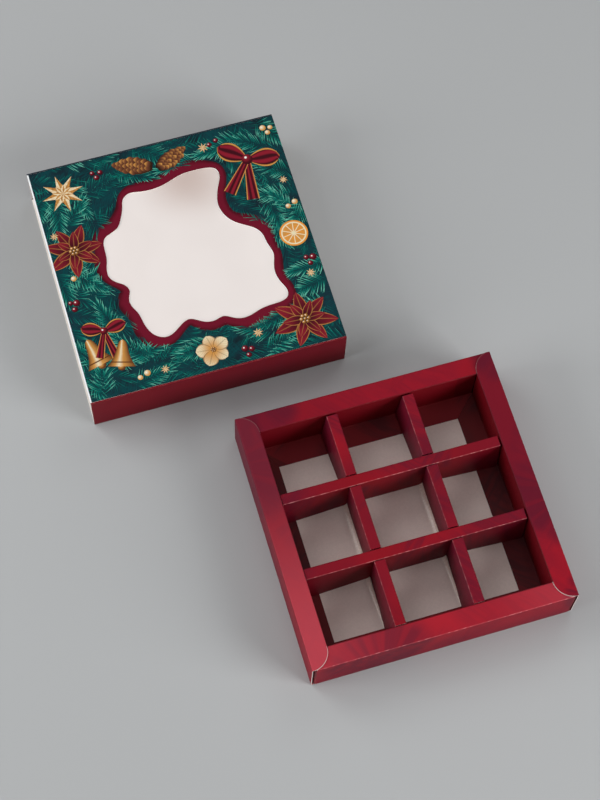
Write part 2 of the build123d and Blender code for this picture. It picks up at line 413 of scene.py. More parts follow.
class Finish:
    """A material, or the world, while its nodes are laid out."""

    def __init__(self, name, kind="materials"):
        self.material = getattr(bpy.data, kind).new(name)
        self.material.use_nodes = True
        self.nodes = self.material.node_tree.nodes
        self.links = self.material.node_tree.links
        self.nodes.clear()

    def node(self, kind, settings=None, sockets=None, output=0):
        """Add a node of any type: its settings first, then the values or links of its sockets."""
        made = self.nodes.new(kind)
        for name, value in (settings or {}).items():
            if name == "stops":
                ramp = made.color_ramp
                while len(ramp.elements) < len(value):
                    ramp.elements.new(1)
                for stop, (position, colour) in zip(ramp.elements, value):
                    stop.position = position
                    stop.color = opaque(colour)
            else:
                setattr(made, name, value)
        for name, value in (sockets or {}).items():
            if isinstance(value, Wire):
                self.links.new(value.socket, made.inputs[name])
            else:
                made.inputs[name].default_value = value
        return Wire(self, made.outputs[output]) if made.outputs else None

    def maths(self, operation, *values):
        return self.node("ShaderNodeMath", {"operation": operation}, dict(enumerate(values)))

    def vectors(self, operation, *values):
        return self.node("ShaderNodeVectorMath", {"operation": operation}, dict(enumerate(values)))

    def larger(self, first, second):
        return self.maths("MAXIMUM", first, second)

    def distance(self, right, back):
        """How far a place lies from where both of its parts are 0."""
        return self.maths("SQRT", right * right + back * back)

    def mix(self, share, first, second):
        """First colour turning into the second as share goes from 0 to 1."""
        return self.node("ShaderNodeMix", {"data_type": "RGBA"}, {0: share, 6: first, 7: second}, 2)

    def rise(self, value, low, high):
        """0 below low, 1 above high, and smooth between."""
        sockets = {"Value": value, "From Min": low, "From Max": high}
        return self.node("ShaderNodeMapRange", {"interpolation_type": "SMOOTHSTEP"}, sockets)

    def place(self):
        return self.node("ShaderNodeTexCoord", output="Object")

    def axes(self, vector):
        split = self.node("ShaderNodeSeparateXYZ", None, {0: vector})
        return split, split.other(1), split.other(2)

    def facing(self):
        """The three parts of the way that the surface faces."""
        return self.axes(self.node("ShaderNodeTexCoord", output="Normal"))

    def noise(self, vector, scale, detail=2.0, distortion=0.0):
        sockets = {"Vector": vector, "Scale": scale, "Detail": detail, "Distortion": distortion}
        return self.node("ShaderNodeTexNoise", None, sockets)

    def attribute(self, name):
        return self.node("ShaderNodeAttribute", {"attribute_name": name}, output="Fac")

    def ramp(self, value, stops):
        """A colour between the stops, as value goes from 0 to 1."""
        return self.node("ShaderNodeValToRGB", {"stops": stops}, {"Fac": value})

    def surface(self, colour, roughness, height, depth, specular=0.08, alpha=1.0, strength=1.0):
        """Close the material with a shader, bumped by height."""
        bump = self.node("ShaderNodeBump", None, {"Strength": strength, "Distance": depth, "Height": height})
        shader = self.node("ShaderNodeBsdfPrincipled", None, {
            "Base Color": colour,
            "Roughness": roughness,
            "Specular IOR Level": specular,
            "Alpha": alpha,
            "Normal": bump,
        })
        self.node("ShaderNodeOutputMaterial", None, {"Surface": shader})
        return self.material

    def coat(self, place, colour, roughness, depth):
        """Close the material as coated board, with its fine unevenness."""
        return self.surface(colour, roughness, self.noise(place, GRAIN_SCALE, 3.0), depth)


class BoardSettings(PropertyGroup):
    """Colours and wear of the folding board."""

    maroon: colour_property(
        "Maroon print", "Main colour of the printed side of the tray and dividers", 164, 21, 37
    )
    # This tone is also laid as painted shade over the tray's walls, rims and dividers
    plume: colour_property("Plume tone", "Darker tone of the plumes printed over the maroon", 90, 18, 38)
    # Painted sheen: a paler maroon laid on the left rim towards its front and on the front rim towards its
    # ends
    painted_sheen: colour_property(
        "Rubbed print", "Paler maroon where hands have rubbed the tray's left and front rims", 206, 84, 96
    )
    sleeve_maroon: colour_property(
        "Sleeve maroon", "Plain colour of the sleeve's sides and underside", 114, 14, 28
    )
    tray_inside: colour_property(
        "Tray inside", "Unprinted grey-white side of the board, seen in the cells", 252, 238, 230
    )
    sleeve_inside: colour_property(
        "Sleeve inside", "White side of the sleeve's board, seen through the window", 252, 246, 240
    )
    foot: colour_property(
        "Dividers' feet", "Unprinted feet that curl out from under the cross dividers", 255, 240, 228
    )
    cut_edge: colour_property("Cut edge", "Core of the board where it is cut", 214, 200, 196)
    end_cut: colour_property(
        "Open ends", "White cut edges and bare margin at the sleeve's open ends", 248, 252, 254
    )
    # This colour is cracked ink on the folds and also a painted glint on the folds that face the front and
    # the left
    worn_fold_and_glint: colour_property(
        "Worn fold", "Board that shows where the ink has cracked along a fold", 222, 150, 150
    )
    # This strength also scales the painted glint on the folds
    fold_wear_and_glint: FloatProperty(
        name="Fold wear",
        description="How far the ink has cracked pale along the folds",
        subtype="FACTOR",
        min=0,
        max=1,
        default=0.6,
    )


class PrintSettings(PropertyGroup):
    """Sizes and colours of the print on the sleeve's top."""

    ground: colour_property("Ground", "Dark blue-green behind the fir sprays", 20, 46, 56)
    border: colour_property("Border", "Maroon band round the window", 108, 16, 38)
    fir_shade: colour_property("Fir shade", "Needles where they leave the twig", 4, 62, 66)
    fir: colour_property("Fir", "Middle of the needles", 2, 124, 108)
    fir_tip: colour_property("Fir tip", "Lit tips of the needles", 120, 212, 184)
    blossom_shade: colour_property("Blossom shade", "Heart of the maroon blossoms", 62, 10, 22)
    blossom: colour_property("Blossom", "Petals of the maroon blossoms", 138, 28, 44)
    gold: colour_property("Gold", "Bells, rims and hearts of the blossoms", 206, 146, 74)
    gold_shade: colour_property("Gold shade", "Gold where it turns away", 96, 54, 28)
    cream: colour_property("Cream", "Stars, pale blossom and pale berries", 236, 222, 186)
    cone: colour_property("Cone", "Scales of the fir cones", 112, 66, 44)
    orange: colour_property("Orange", "Slice of dried orange", 232, 150, 58)
    border_width: length_property("Border width", "Mean width of the maroon band", 7.0 * MM)
    needle_length: length_property("Needle length", "Longest needles of a spray", 10.4 * MM)
    needle_width: length_property("Needle width", "Width of a needle", 0.6 * MM)
    spray_count: IntProperty(
        name="Fir sprays",
        description="How many fir sprays lie round the window",
        min=1,
        default=124,
    )
    seed: IntProperty(
        name="Seed",
        description="Picks another arrangement of the sprays",
        min=0,
        default=7,
    )


class StageSettings(PropertyGroup):
    """Floor, lamps and camera."""

    floor: colour_property("Floor", "Colour of the plain floor", 181, 183, 184)
    floor_radius: length_property(
        "Floor radius", "How far the floor reaches before it has faded into the backdrop", 1.25
    )
    sky_level: FloatProperty(
        name="Sky level",
        description="Strength of the even light from all round",
        min=0,
        default=0.03,
    )
    lamp_power: FloatProperty(
        name="Lamp power",
        description="Power of the strongest lamp, which the others follow",
        unit="POWER",
        min=0,
        default=18.0,
    )
    lamp_reach: length_property(
        "Lamp distance", "How far each lamp hangs from the middle of the boxes", 1.5, least=0.5
    )
    lamp_size: length_property("Lamp size", "Side of each square lamp", 0.8, least=0.01)
    camera_place: FloatVectorProperty(
        name="Camera place",
        description="Where the camera stands",
        subtype="TRANSLATION",
        unit="LENGTH",
        default=(-0.173297, -0.307275, 0.987245),
    )
    camera_turn: FloatVectorProperty(
        name="Camera turn",
        description="How the camera is turned from looking straight down",
        subtype="EULER",
        unit="ROTATION",
        default=(0.398058, -0.024127, -0.291076),
    )
    lens: FloatProperty(
        name="Lens",
        description="Focal length of the camera",
        unit="CAMERA",
        min=1,
        default=87.475,
    )


def strokes(finish, place, turn, fineness):
    """Long soft brush strokes side by side, turned from the back-to-front line."""
    long, thin = STROKE_STRETCH / fineness, 1 / fineness
    sockets = {"Vector": place, "Rotation": (0, 0, turn), "Scale": (thin, long, long)}
    combed = finish.node("ShaderNodeMapping", {"vector_type": "TEXTURE"}, sockets)
    return finish.rise(finish.noise(combed, 1.0, 3.0, 0.4), 0.36, 0.66)


def fan(finish, place, right, back, radius, cloud):
    """One large plume whose barbs fan out from a root beyond the tray's outer edge."""
    root = (PLUME_ROOT_SHARE * right * MM, PLUME_ROOT_SHARE * back * MM, PLUME_LEVEL)
    from_root = finish.vectors("SUBTRACT", place, root)
    reach = finish.node("ShaderNodeVectorMath", {"operation": "LENGTH"}, {0: from_root}, "Value")
    barbs = finish.noise(finish.vectors("NORMALIZE", from_root), BARB_SCALE, 3.0, 0.6)
    edge = reach + PLUME_FRAY * (cloud - 0.5)
    inside = 1 - finish.rise(edge, *(share * radius * MM for share in PLUME_EDGE_SHARES))
    return inside * (0.5 + 0.45 * finish.rise(barbs, 0.36, 0.6))


def plumes(finish, place, fans=()):
    """Tone-on-tone plumes: the given fans, and slanting, feathery strokes here and there between them."""
    sway = finish.noise(place, SWAY_SCALE, 1.0).other("Color")
    bent = finish.vectors("MULTIPLY_ADD", sway, (STROKE_SWAY,) * 3, place)
    cloud = finish.noise(place, LEANING_SCALE, 1.0)
    moved = finish.node("ShaderNodeMapping", None, {"Vector": place, "Location": CROSSING_SHIFT})
    leaning = finish.rise(cloud, 0.44, 0.60) * (0.5 + 0.5 * strokes(finish, bent, *LEANING_STROKES))
    crossing = finish.rise(finish.noise(moved, CROSSING_SCALE, 1.0), 0.50, 0.62)
    spread = finish.larger(leaning, crossing * (0.2 + 0.8 * strokes(finish, bent, *CROSSING_STROKES)))
    if fans:
        spread = 0.45 * spread
    for right, back, radius in fans:
        spread = finish.larger(spread, fan(finish, place, right, back, radius, cloud))
    return spread


def fold_wear_and_glint(finish, place, facing):
    """Pale, broken wear on the round of each fold, with a painted glint that makes it most on those that
    face the front, then the left.
    """
    x, y, z = facing
    flattest = finish.larger(finish.larger(abs(x), abs(y)), abs(z))
    on_fold = 1 - finish.rise(flattest, *FOLD_ROUND)
    inner_left = (x < -0.2) * (finish.axes(place)[0] > INNER_FOLDS)
    # Painted glint: folds that face the front, and inner folds that face the left, are paler
    painted_glint = finish.larger(finish.rise(0 - y, 0.15, 0.6), 0.6 * inner_left)
    cracks = finish.rise(finish.noise(place, CRACK_SCALE, 4.0), 0.44, 0.64)
    return on_fold * (0.05 + 0.95 * painted_glint) * (0.25 + 0.75 * cracks)


def lap_edge(finish, place):
    """How pale the cut edge of a side rim's rounded lap is: clear at the front, faint at the back."""
    low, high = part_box("left_wall")
    inner_corner = -low.x - RIM_WIDTH
    rim_middle = -low.x - RIM_WIDTH / 2
    reach = LAP_BULGE / 2**0.5
    radius = RIM_WIDTH**2 / (4 * LAP_BULGE) + LAP_BULGE / 2
    x, y, z = finish.axes(place)
    beside = abs(x) - (rim_middle - reach + radius / 2**0.5)
    beyond = abs(y) - (rim_middle + reach - radius / 2**0.5)
    from_edge = radius - finish.distance(beside, beyond)
    line = 1 - finish.rise(from_edge, *LAP_EDGE)
    strength = finish.larger(0.75 * (y < 0), 0.12)
    return line * (abs(y) > inner_corner) * (z > high.z - 2 * BOARD) * strength


def tray_print(name, settings, side_walls):
    """Maroon print of the tray's walls: plumes, pale folds and cut edges, under painted shade and painted
    sheen.
    """
    finish = Finish(name)
    place = finish.place()
    facing = finish.facing()
    across = facing[1] if side_walls else facing[0]
    x, y, z = finish.axes(place)
    # Tone clouds, with painted shade that makes the tray darker towards its back and lighter towards its
    # front
    shade = finish.noise(place, TRAY_CLOUD_SCALE) - 1.5 * y
    deep = darker(settings.maroon, 0.72)
    red = finish.mix(finish.rise(shade, 0.36, 0.64), deep, opaque(settings.maroon))
    feathers = plumes(finish, place, PLUMES)
    red = finish.mix(0.85 * feathers, red, opaque(settings.plume))
    # Painted shade on the outer walls, deepest near the floor
    outward = x * facing[0] + y * facing[1]
    outside = (abs(facing[2]) < SQUARE) * (outward > WALL_OUTWARD)
    painted_low_shade = 1 - finish.rise(z, 0, OUTER_SHADE_HEIGHT)
    red = finish.mix(outside * (0.25 + 0.4 * painted_low_shade), red, opaque(settings.plume))
    # Cracked ink on the folds, with its painted glint
    wear_and_glint = fold_wear_and_glint(finish, place, facing) * settings.fold_wear_and_glint
    colour = finish.mix(wear_and_glint, red, opaque(settings.worn_fold_and_glint))
    # Painted shadow on the inner sides of the walls, deeper on the right wall
    lit = 0.4 - 0.12 * (x > RIGHT_INSIDE)
    shadow = finish.mix(lit, BLACK, opaque(settings.maroon))
    colour = finish.mix(0.9 * (outward < -WALL_OUTWARD), colour, shadow)
    cut = finish.rise(abs(across), 0.2, 0.35) * (abs(facing[2]) < LEVEL)
    on_rim = facing[2] > LEVEL
    if side_walls:
        # Painted shade on the left wall and rim, deepening towards the back, with the strokes of the plumes
        # in it
        painted_shade = (x < 0) * finish.rise(y, *LEFT_RIM_SHADE)
        colour = finish.mix(painted_shade * (0.45 + 0.4 * feathers), colour, opaque(settings.plume))
        # Painted shade on the right rim behind its front end
        right_rim_shading = (x > 0) * on_rim * finish.rise(y, *RIGHT_RIM_SHADE)
        colour = finish.mix(0.55 * right_rim_shading, colour, opaque(settings.plume))
        # Painted sheen on the left rim, strongest towards the front
        painted_sheen = (x < 0) * on_rim * (0.08 + 0.46 * finish.rise(0 - y, *LEFT_RIM_SHEEN))
        colour = finish.mix(painted_sheen, colour, opaque(settings.painted_sheen))
        cut = finish.larger(cut, lap_edge(finish, place))
    else:
        # Painted shade on the back rim, deepest towards the left
        back_rim_shading = (y > 0) * on_rim * (0.16 + 0.34 * finish.rise(0 - x, *BACK_RIM_SHADE))
        colour = finish.mix(back_rim_shading, colour, opaque(settings.plume))
        # Painted sheen on the front rim, strongest towards its ends
        painted_sheen = (y < 0) * on_rim * (0.08 + 0.2 * finish.rise(abs(x), *FRONT_RIM_SHEEN))
        colour = finish.mix(painted_sheen, colour, opaque(settings.painted_sheen))
    colour = finish.mix(cut, colour, opaque(settings.cut_edge))
    return finish.coat(place, colour, SATIN + 0.12 * shade, BOARD_GRAIN)


def flap_print(name, settings):
    """The same print on the floor flaps and tabs, darkened with painted shade, and a little paler where they
    are cut.
    """
    finish = Finish(name)
    place = finish.place()
    z = finish.facing()[2]
    right, back, up = finish.axes(place)
    # Painted shade: the left and right flaps are darker than the front and back ones
    beside = abs(right) > abs(back)
    ground = finish.mix(beside, darker(settings.maroon, 0.6), darker(settings.maroon, 0.36))
    red = finish.mix(0.7 * plumes(finish, place), ground, darker(settings.plume, 0.36))
    upright = (abs(z) < LEVEL) * (up < 2 * BOARD)
    colour = finish.mix(0.025 + 0.04 * upright, red, opaque(settings.cut_edge))
    return finish.coat(place, colour, 0.5, BOARD_GRAIN)


def divider_print(name, settings, node, along_x):
    """Maroon print outside a hollow strip, white board inside it and on its cut ends, under painted shade.
    """
    finish = Finish(name)
    low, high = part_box(node)
    place = finish.place()
    x, y = finish.axes(place)[:2]
    facing = finish.facing()
    if along_x:
        inward = (y - (low.y + high.y) / 2) * facing[1]
        end_on = (abs(facing[0]) > SQUARE) * (abs(x) > high.x - FREE_END)
    else:
        inward = (x - (low.x + high.x) / 2) * facing[0]
        end_on = (abs(facing[1]) > SQUARE) * (abs(y) > high.y - FREE_END)
    inside = finish.larger(inward < -DIVIDER_INWARD, facing[2] < -LEVEL)
    shade = finish.noise(place, DIVIDER_CLOUD_SCALE)
    deep = darker(settings.maroon, 0.66)
    bright = darker(settings.maroon, 0.86)
    red = finish.mix(finish.rise(shade, 0.38, 0.62), deep, bright)
    # Painted shade: a long strip darkens towards its ends, a cross strip round its middle and on its sides
    if along_x:
        painted_shade = finish.rise(abs(x), *LONG_DIVIDER_SHADE)
    else:
        painted_shade = 1 - finish.rise(abs(y - CROSS_SHADE_MIDDLE), *CROSS_DIVIDER_SHADE)
        painted_shade = finish.larger(painted_shade, 2.0 * (abs(facing[0]) > SQUARE))
    red = finish.mix(0.35 * painted_shade, red, opaque(settings.plume))
    red = finish.mix(0.75 * plumes(finish, place), red, opaque(settings.plume))
    # Painted shadow on the front faces of the long strips, deeper on the front one
    if along_x:
        in_shade = 0.38 if low.y < 0 else 0.22
        red = finish.mix(in_shade * (facing[1] < -SQUARE), red, BLACK)
    # Cracked ink on the folds, with its painted glint
    wear_and_glint = fold_wear_and_glint(finish, place, facing) * settings.fold_wear_and_glint
    colour = finish.mix(wear_and_glint, red, opaque(settings.worn_fold_and_glint))
    colour = finish.mix(finish.larger(inside, end_on), colour, opaque(settings.cut_edge))
    return finish.coat(place, colour, SATIN + 0.1 * shade, BOARD_GRAIN)


def bare_board(name, colour, print_colour, shadow_under_flaps=False, roughness=0.62, specular=0.1):
    """Unprinted side of the board with its fibres, print where it faces down, and painted shadow under the
    flaps.
    """
    finish = Finish(name)
    place = finish.place()
    fibres = finish.noise(place, FIBRE_SCALE, 5.0, 0.6)
    cloud = finish.noise(place, BOARD_CLOUD_SCALE, 3.0)
    tone = finish.rise(0.6 * fibres + 0.4 * cloud, 0.35, 0.65)
    board = finish.mix(tone, darker(colour, 0.94), opaque(colour))
    # Painted shadow: near-black where the flaps cover the floor
    if shadow_under_flaps:
        x, y = finish.axes(place)[:2]
        beside = finish.larger(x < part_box("left_floor_flap")[1].x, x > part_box("right_floor_flap")[0].x)
        beyond = finish.larger(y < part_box("front_floor_flap")[1].y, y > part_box("back_floor_flap")[0].y)
        covered = finish.larger(beside, beyond)
        board = finish.mix(covered, board, darker(print_colour, 0.1))
    board = finish.mix(finish.facing()[2] < -LEVEL, board, opaque(print_colour))
    return finish.surface(board, roughness + 0.1 * fibres, fibres, FIBRE_DEPTH, specular=specular)


def sleeve_side_print(name, settings, outward, bead_colour):
    """Plain maroon outside a side of the sleeve, white inside it and white where it is cut."""
    finish = Finish(name)
    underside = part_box("sleeve_top_panel")[0].z
    place = finish.place()
    z = finish.axes(place)[2]
    facing = finish.facing()
    shade = finish.noise(place, SLEEVE_CLOUD_SCALE)
    deep = darker(settings.sleeve_maroon, 0.8)
    red = finish.mix(finish.rise(shade, 0.35, 0.65), deep, opaque(settings.sleeve_maroon))
    red = finish.mix(0.25 * plumes(finish, place), red, opaque(settings.plume))
    red = finish.mix((z > underside) * (facing[2] > 0.3), red, opaque(bead_colour))
    colour = finish.mix(facing[1] * outward < -FLAT, red, opaque(settings.sleeve_inside))
    # Cracked ink on the folds, with its painted glint
    wear_and_glint = fold_wear_and_glint(finish, place, facing) * (0.35 * settings.fold_wear_and_glint)
    colour = finish.mix(wear_and_glint, colour, opaque(settings.worn_fold_and_glint))
    colour = finish.mix(abs(facing[0]) > SQUARE, colour, opaque(settings.end_cut))
    return finish.coat(place, colour, SATIN + 0.1 * shade, BOARD_GRAIN)


def sleeve_ground(name, board, art):
    """The sleeve's top panel: needles in shadow above, white board below, at its ends and left margin."""
    finish = Finish(name)
    place = finish.place()
    facing = finish.facing()
    cloud = finish.noise(place, GROUND_CLOUD_SCALE, 4.0)
    dark = darker(art.ground, 0.45)
    ground = finish.mix(finish.rise(cloud, 0.3, 0.7), dark, opaque(art.ground))
    for turn, scale in GROUND_NEEDLES:
        patch = finish.rise(finish.noise(place, scale, 1.0), 0.46, 0.56)
        needles = patch * strokes(finish, place, turn, GROUND_FINENESS)
        ground = finish.mix(needles, ground, opaque(art.fir_shade))
    fibres = finish.noise(place, FIBRE_SCALE)
    white = finish.mix(fibres, darker(board.sleeve_inside, 0.94), opaque(board.sleeve_inside))
    low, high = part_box("sleeve_top_panel")
    x, y = finish.axes(place)[:2]
    window_cut = (facing[2] < LEVEL) * (y > low.y + RIM_WIDTH) * (y < high.y - RIM_WIDTH)
    end_cut = finish.larger(abs(facing[0]) > SQUARE, x < low.x + LEFT_MARGIN)
    bare = finish.larger(facing[2] < -LEVEL, window_cut)
    colour = finish.mix(end_cut, finish.mix(bare, ground, white), opaque(board.end_cut))
    return finish.coat(place, colour, SATIN, BOARD_GRAIN)


def clear_film(name):
    """Thin clear film, a little wavy, with a pale painted reflection of the studio on it and a spot of
    painted shade.
    """
    finish = Finish(name)
    place = finish.place()
    waves = finish.noise(place, FILM_WAVE_SCALE, 1.0)
    # Painted reflection: how much of the pale colour lies over what is seen through the film
    painted_veil = 0.78 + 0.05 * finish.rise(waves, 0.35, 0.65)
    low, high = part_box("window_film")
    # Painted shade: a dim spot near the back edge of the window
    painted_shade_spot = ((low.x + high.x) / 2 + FILM_SPOT_RIGHT, high.y - FILM_SPOT_INSET, 0)
    right, back = finish.axes(finish.vectors("SUBTRACT", place, painted_shade_spot))[:2]
    away = finish.distance(right, back)
    colour = finish.mix(finish.rise(away + FILM_SPOT_FRAY * waves, *FILM_SPOT_EDGE), FILM_PAINTED_SHADE, FILM_PAINTED_REFLECTION)
    return finish.surface(colour, 0.2, waves, FILM_WAVE_DEPTH, specular=0.15, alpha=painted_veil, strength=0.4)


def band_print(name, art):
    """Maroon of the border, deeper along its outer edge."""
    finish = Finish(name)
    place = finish.place()
    across = finish.attribute("across")
    cloud = finish.noise(place, BORDER_CLOUD_SCALE, 3.0)
    deep = darker(art.border, 0.35)
    colour = finish.mix(finish.rise(across + 0.5 * cloud, 0.7, 1.3), opaque(art.border), deep)
    return finish.coat(place, colour, SATIN, INK_GRAIN)


def fir_print(name, art):
    """Needles from deep blue-green at the twig to pale tips, each spray in its own tone."""
    finish = Finish(name)
    place = finish.place()
    along = finish.attribute("along")
    tone = finish.attribute("tone")
    cloud = finish.noise(place, NEEDLE_CLOUD_SCALE, 1.0)
    lit = along * (0.42 + 0.66 * tone) + 0.2 * (cloud - 0.5) + 0.18 * tone
    lit = lit * (1.15 - 0.65 * abs(finish.attribute("across")))
    stops = [
        (0.0, art.ground),
        (0.16, art.fir_shade),
        (0.52, art.fir),
        (1.1, art.fir_tip),
    ]
    return finish.coat(place, finish.ramp(lit, stops), 0.45, INK_GRAIN)


def facet_print(name, bright, shade):
    """One side of a star's points, flecked with its shade."""
    finish = Finish(name)
    place = finish.place()
    fleck = finish.rise(finish.noise(place, FIBRE_SCALE, 3.0), 0.35, 0.7)
    colour = finish.mix(0.55 * fleck, opaque(bright), opaque(shade))
    return finish.coat(place, colour, 0.4, INK_GRAIN)


def petal_print(name, deep, bright, edge):
    """A petal: deep at its foot, with a midrib and side veins, and a thin edge."""
    finish = Finish(name)
    place = finish.place()
    across = abs(finish.attribute("across"))
    along = finish.attribute("along")
    tone = finish.attribute("tone")
    lit = finish.rise(along * (0.7 + 0.5 * tone), 0.1, 0.9)
    veins = finish.maths("SINE", 44.0 * along - 16.0 * across)
    petal = finish.mix(lit * (0.75 + 0.25 * finish.rise(veins, 0.0, 0.9)), opaque(deep), opaque(bright))
    trim = finish.rise(across, 0.80, 0.94) * finish.rise(along, 0.05, 0.2) * 0.65
    midrib = (1 - finish.rise(across, 0.03, 0.12)) * 0.35
    petal = finish.mix(finish.larger(trim, midrib), petal, opaque(edge))
    return finish.coat(place, petal, SATIN, INK_GRAIN)


def gold_print(name, art):
    """Gold that turns from shade through a highlight to shade, with a ring near the lip."""
    finish = Finish(name)
    place = finish.place()
    cloud = finish.noise(place, GOLD_CLOUD_SCALE)
    across = 0.5 + 0.5 * finish.attribute("across") + 0.1 * (cloud - 0.5)
    along = finish.attribute("along")
    stops = [
        (0.0, art.gold_shade),
        (0.26, art.gold),
        (0.40, art.cream),
        (0.55, art.gold),
        (1.0, art.gold_shade),
    ]
    ring = finish.rise(abs(along - 0.16), 0.012, 0.03)
    colour = finish.mix(ring, opaque(art.gold_shade), finish.ramp(across, stops))
    return finish.coat(place, colour, SHEEN, INK_GRAIN)


def ribbon_print(name, art):
    """Satin ribbon with folds along it and gold edges."""
    finish = Finish(name)
    place = finish.place()
    across = finish.attribute("across")
    along = finish.attribute("along")
    tone = finish.attribute("tone")
    fold = finish.maths("SINE", 7.0 * across + 2.5 * along + 5.0 * tone)
    satin = finish.mix(finish.rise(fold, -0.8, 0.9), opaque(art.blossom_shade), opaque(art.blossom))
    edge = finish.rise(abs(across), 0.78, 0.88)
    return finish.coat(place, finish.mix(edge, satin, opaque(art.gold)), SHEEN, INK_GRAIN)


def berry_print(name, deep, bright):
    """A round berry, lit from the back left, with a small highlight."""
    finish = Finish(name)
    place = finish.place()
    aside = finish.attribute("across") + BERRY_LIT_SHARE
    beyond = finish.attribute("along") - BERRY_LIT_SHARE
    away = finish.distance(aside, beyond)
    skin = 0.1 * finish.noise(place, FIBRE_SCALE)
    colour = finish.mix(finish.rise(away + skin, 0.25, 1.25), opaque(bright), opaque(deep))
    colour = finish.mix(1 - finish.rise(away, 0.14, 0.30), colour, HIGHLIGHT)
    return finish.coat(place, colour, 0.35, INK_GRAIN)


def scale_print(name, art):
    """Scales of a cone: dark in the gaps, with a pale tip."""
    finish = Finish(name)
    place = finish.place()
    lit = finish.attribute("along") * (0.6 + 0.4 * finish.attribute("tone"))
    stops = [
        (0.0, darker(art.cone, 0.15)),
        (0.45, art.cone),
        (0.85, art.gold),
    ]
    return finish.surface(finish.ramp(lit, stops), 0.5, finish.noise(place, FIBRE_SCALE), INK_GRAIN)


def slice_print(name, art):
    """A slice of dried orange: rind, pith and ten segments."""
    finish = Finish(name)
    place = finish.place()
    aside = finish.attribute("across")
    beyond = finish.attribute("along")
    out = finish.distance(aside, beyond)
    spokes = abs(finish.maths("SINE", 5.0 * finish.maths("ARCTAN2", beyond, aside)))
    flesh = finish.rise(spokes * out, 0.08, 0.22) * (1 - finish.rise(out, 0.76, 0.80))
    fibres = finish.noise(place, CRACK_SCALE, 3.0, 0.5)
    juicy = finish.mix(finish.rise(fibres, 0.3, 0.7), opaque(art.gold), opaque(art.orange))
    colour = finish.mix(flesh, opaque(art.cream), juicy)
    colour = finish.mix(finish.rise(out, 0.86, 0.90), colour, opaque(art.orange))
    return finish.surface(colour, SATIN, fibres, INK_GRAIN)


def floor_paper(name, stage, middle):
    """Plain matt paper that fades into the backdrop far from the boxes."""
    finish = Finish(name)
    place = finish.place()
    cloud = finish.noise(place, PAPER_CLOUD_SCALE, 1.0)
    colour = finish.mix(cloud, darker(stage.floor, 0.985), opaque(stage.floor))
    x, y = finish.axes(place)[:2]
    away = finish.distance(x - middle.x, y - middle.y)
    solid = 1 - finish.rise(away, 0.5 * stage.floor_radius, 0.97 * stage.floor_radius)
    fibres = finish.noise(place, PAPER_GRAIN_SCALE)
    return finish.surface(colour, 1.0, fibres, INK_GRAIN, specular=0.0, alpha=solid)


def dress(node, material):
    """Give a CAD node its finish."""
    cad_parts[node].material_slots[0].material = material


def new_piece(context, name, shape, *materials):
    """Make an object of a finished shape, which is used up, and put it in the scene."""
    mesh = bpy.data.meshes.new(name)
    shape.to_mesh(mesh)
    shape.free()
    for material in materials:
        mesh.materials.append(material)
    piece = bpy.data.objects.new(name, mesh)
    context.scene.collection.objects.link(piece)
    return piece


def gather(part, shape):
    """Add a part, which is used up, to a larger shape."""
    sheet = bpy.data.meshes.new("part")
    part.to_mesh(sheet)
    part.free()
    shape.from_mesh(sheet)
    bpy.data.meshes.remove(sheet)


def cut_across(shape, point, way, clear_outer=False):
    """Cut a whole shape where a plane through point, facing way, meets it."""
    everything = shape.verts[:] + shape.edges[:] + shape.faces[:]
    bmesh.ops.bisect_plane(shape, geom=everything, plane_co=point, plane_no=way, clear_outer=clear_outer)


def blank():
    """An empty figure with the layers that its finish reads."""
    figure = bmesh.new()
    for layer in FIGURE_LAYERS:
        figure.verts.layers.float.new(layer)
    return figure


def thicken(figure, way=(0, 0, INK)):
    """Give a flat figure a thickness, of a layer of ink if no other is given, closed below."""
    made = bmesh.ops.extrude_face_region(figure, geom=figure.faces[:], use_keep_orig=True)["geom"]
    lifted = [part for part in made if isinstance(part, BMVert)]
    bmesh.ops.translate(figure, verts=lifted, vec=way)
    return figure


def turned(right, back, turn):
    """A step to the right and back, turned by turn degrees."""
    return Matrix.Rotation(math.radians(turn), 3, "Z") @ Vector((right, back, 0))


class SWEETBOX_OT_finish_tray(Operator):
    """Put the maroon print on the tray's walls, flaps and tabs and bare board on its floor"""

    bl_idname = "sweet_box.finish_tray"
    bl_label = "Finish the tray"

    def execute(self, context):
        board = context.scene.sweet_box_board
        end_print = tray_print("tray_print_ends", board, side_walls=False)
        side_print = tray_print("tray_print_sides", board, side_walls=True)
        for node in WALLS:
            dress(node, side_print if node in SIDE_WALLS else end_print)
        flap = flap_print("tray_print_flaps", board)
        for node in FLOOR_FLAPS + TABS:
            dress(node, flap)
        inside = bare_board("tray_inside", board.tray_inside, board.maroon, shadow_under_flaps=True)
        dress("tray_base", inside)
        return {"FINISHED"}


class SWEETBOX_OT_finish_dividers(Operator):
    """Put the maroon print on the four hollow dividers"""

    bl_idname = "sweet_box.finish_dividers"
    bl_label = "Finish the dividers"

    def execute(self, context):
        board = context.scene.sweet_box_board
        for node in CROSS_DIVIDERS + LONG_DIVIDERS:
            dress(node, divider_print(f"{node}_print", board, node, node in LONG_DIVIDERS))
        return {"FINISHED"}


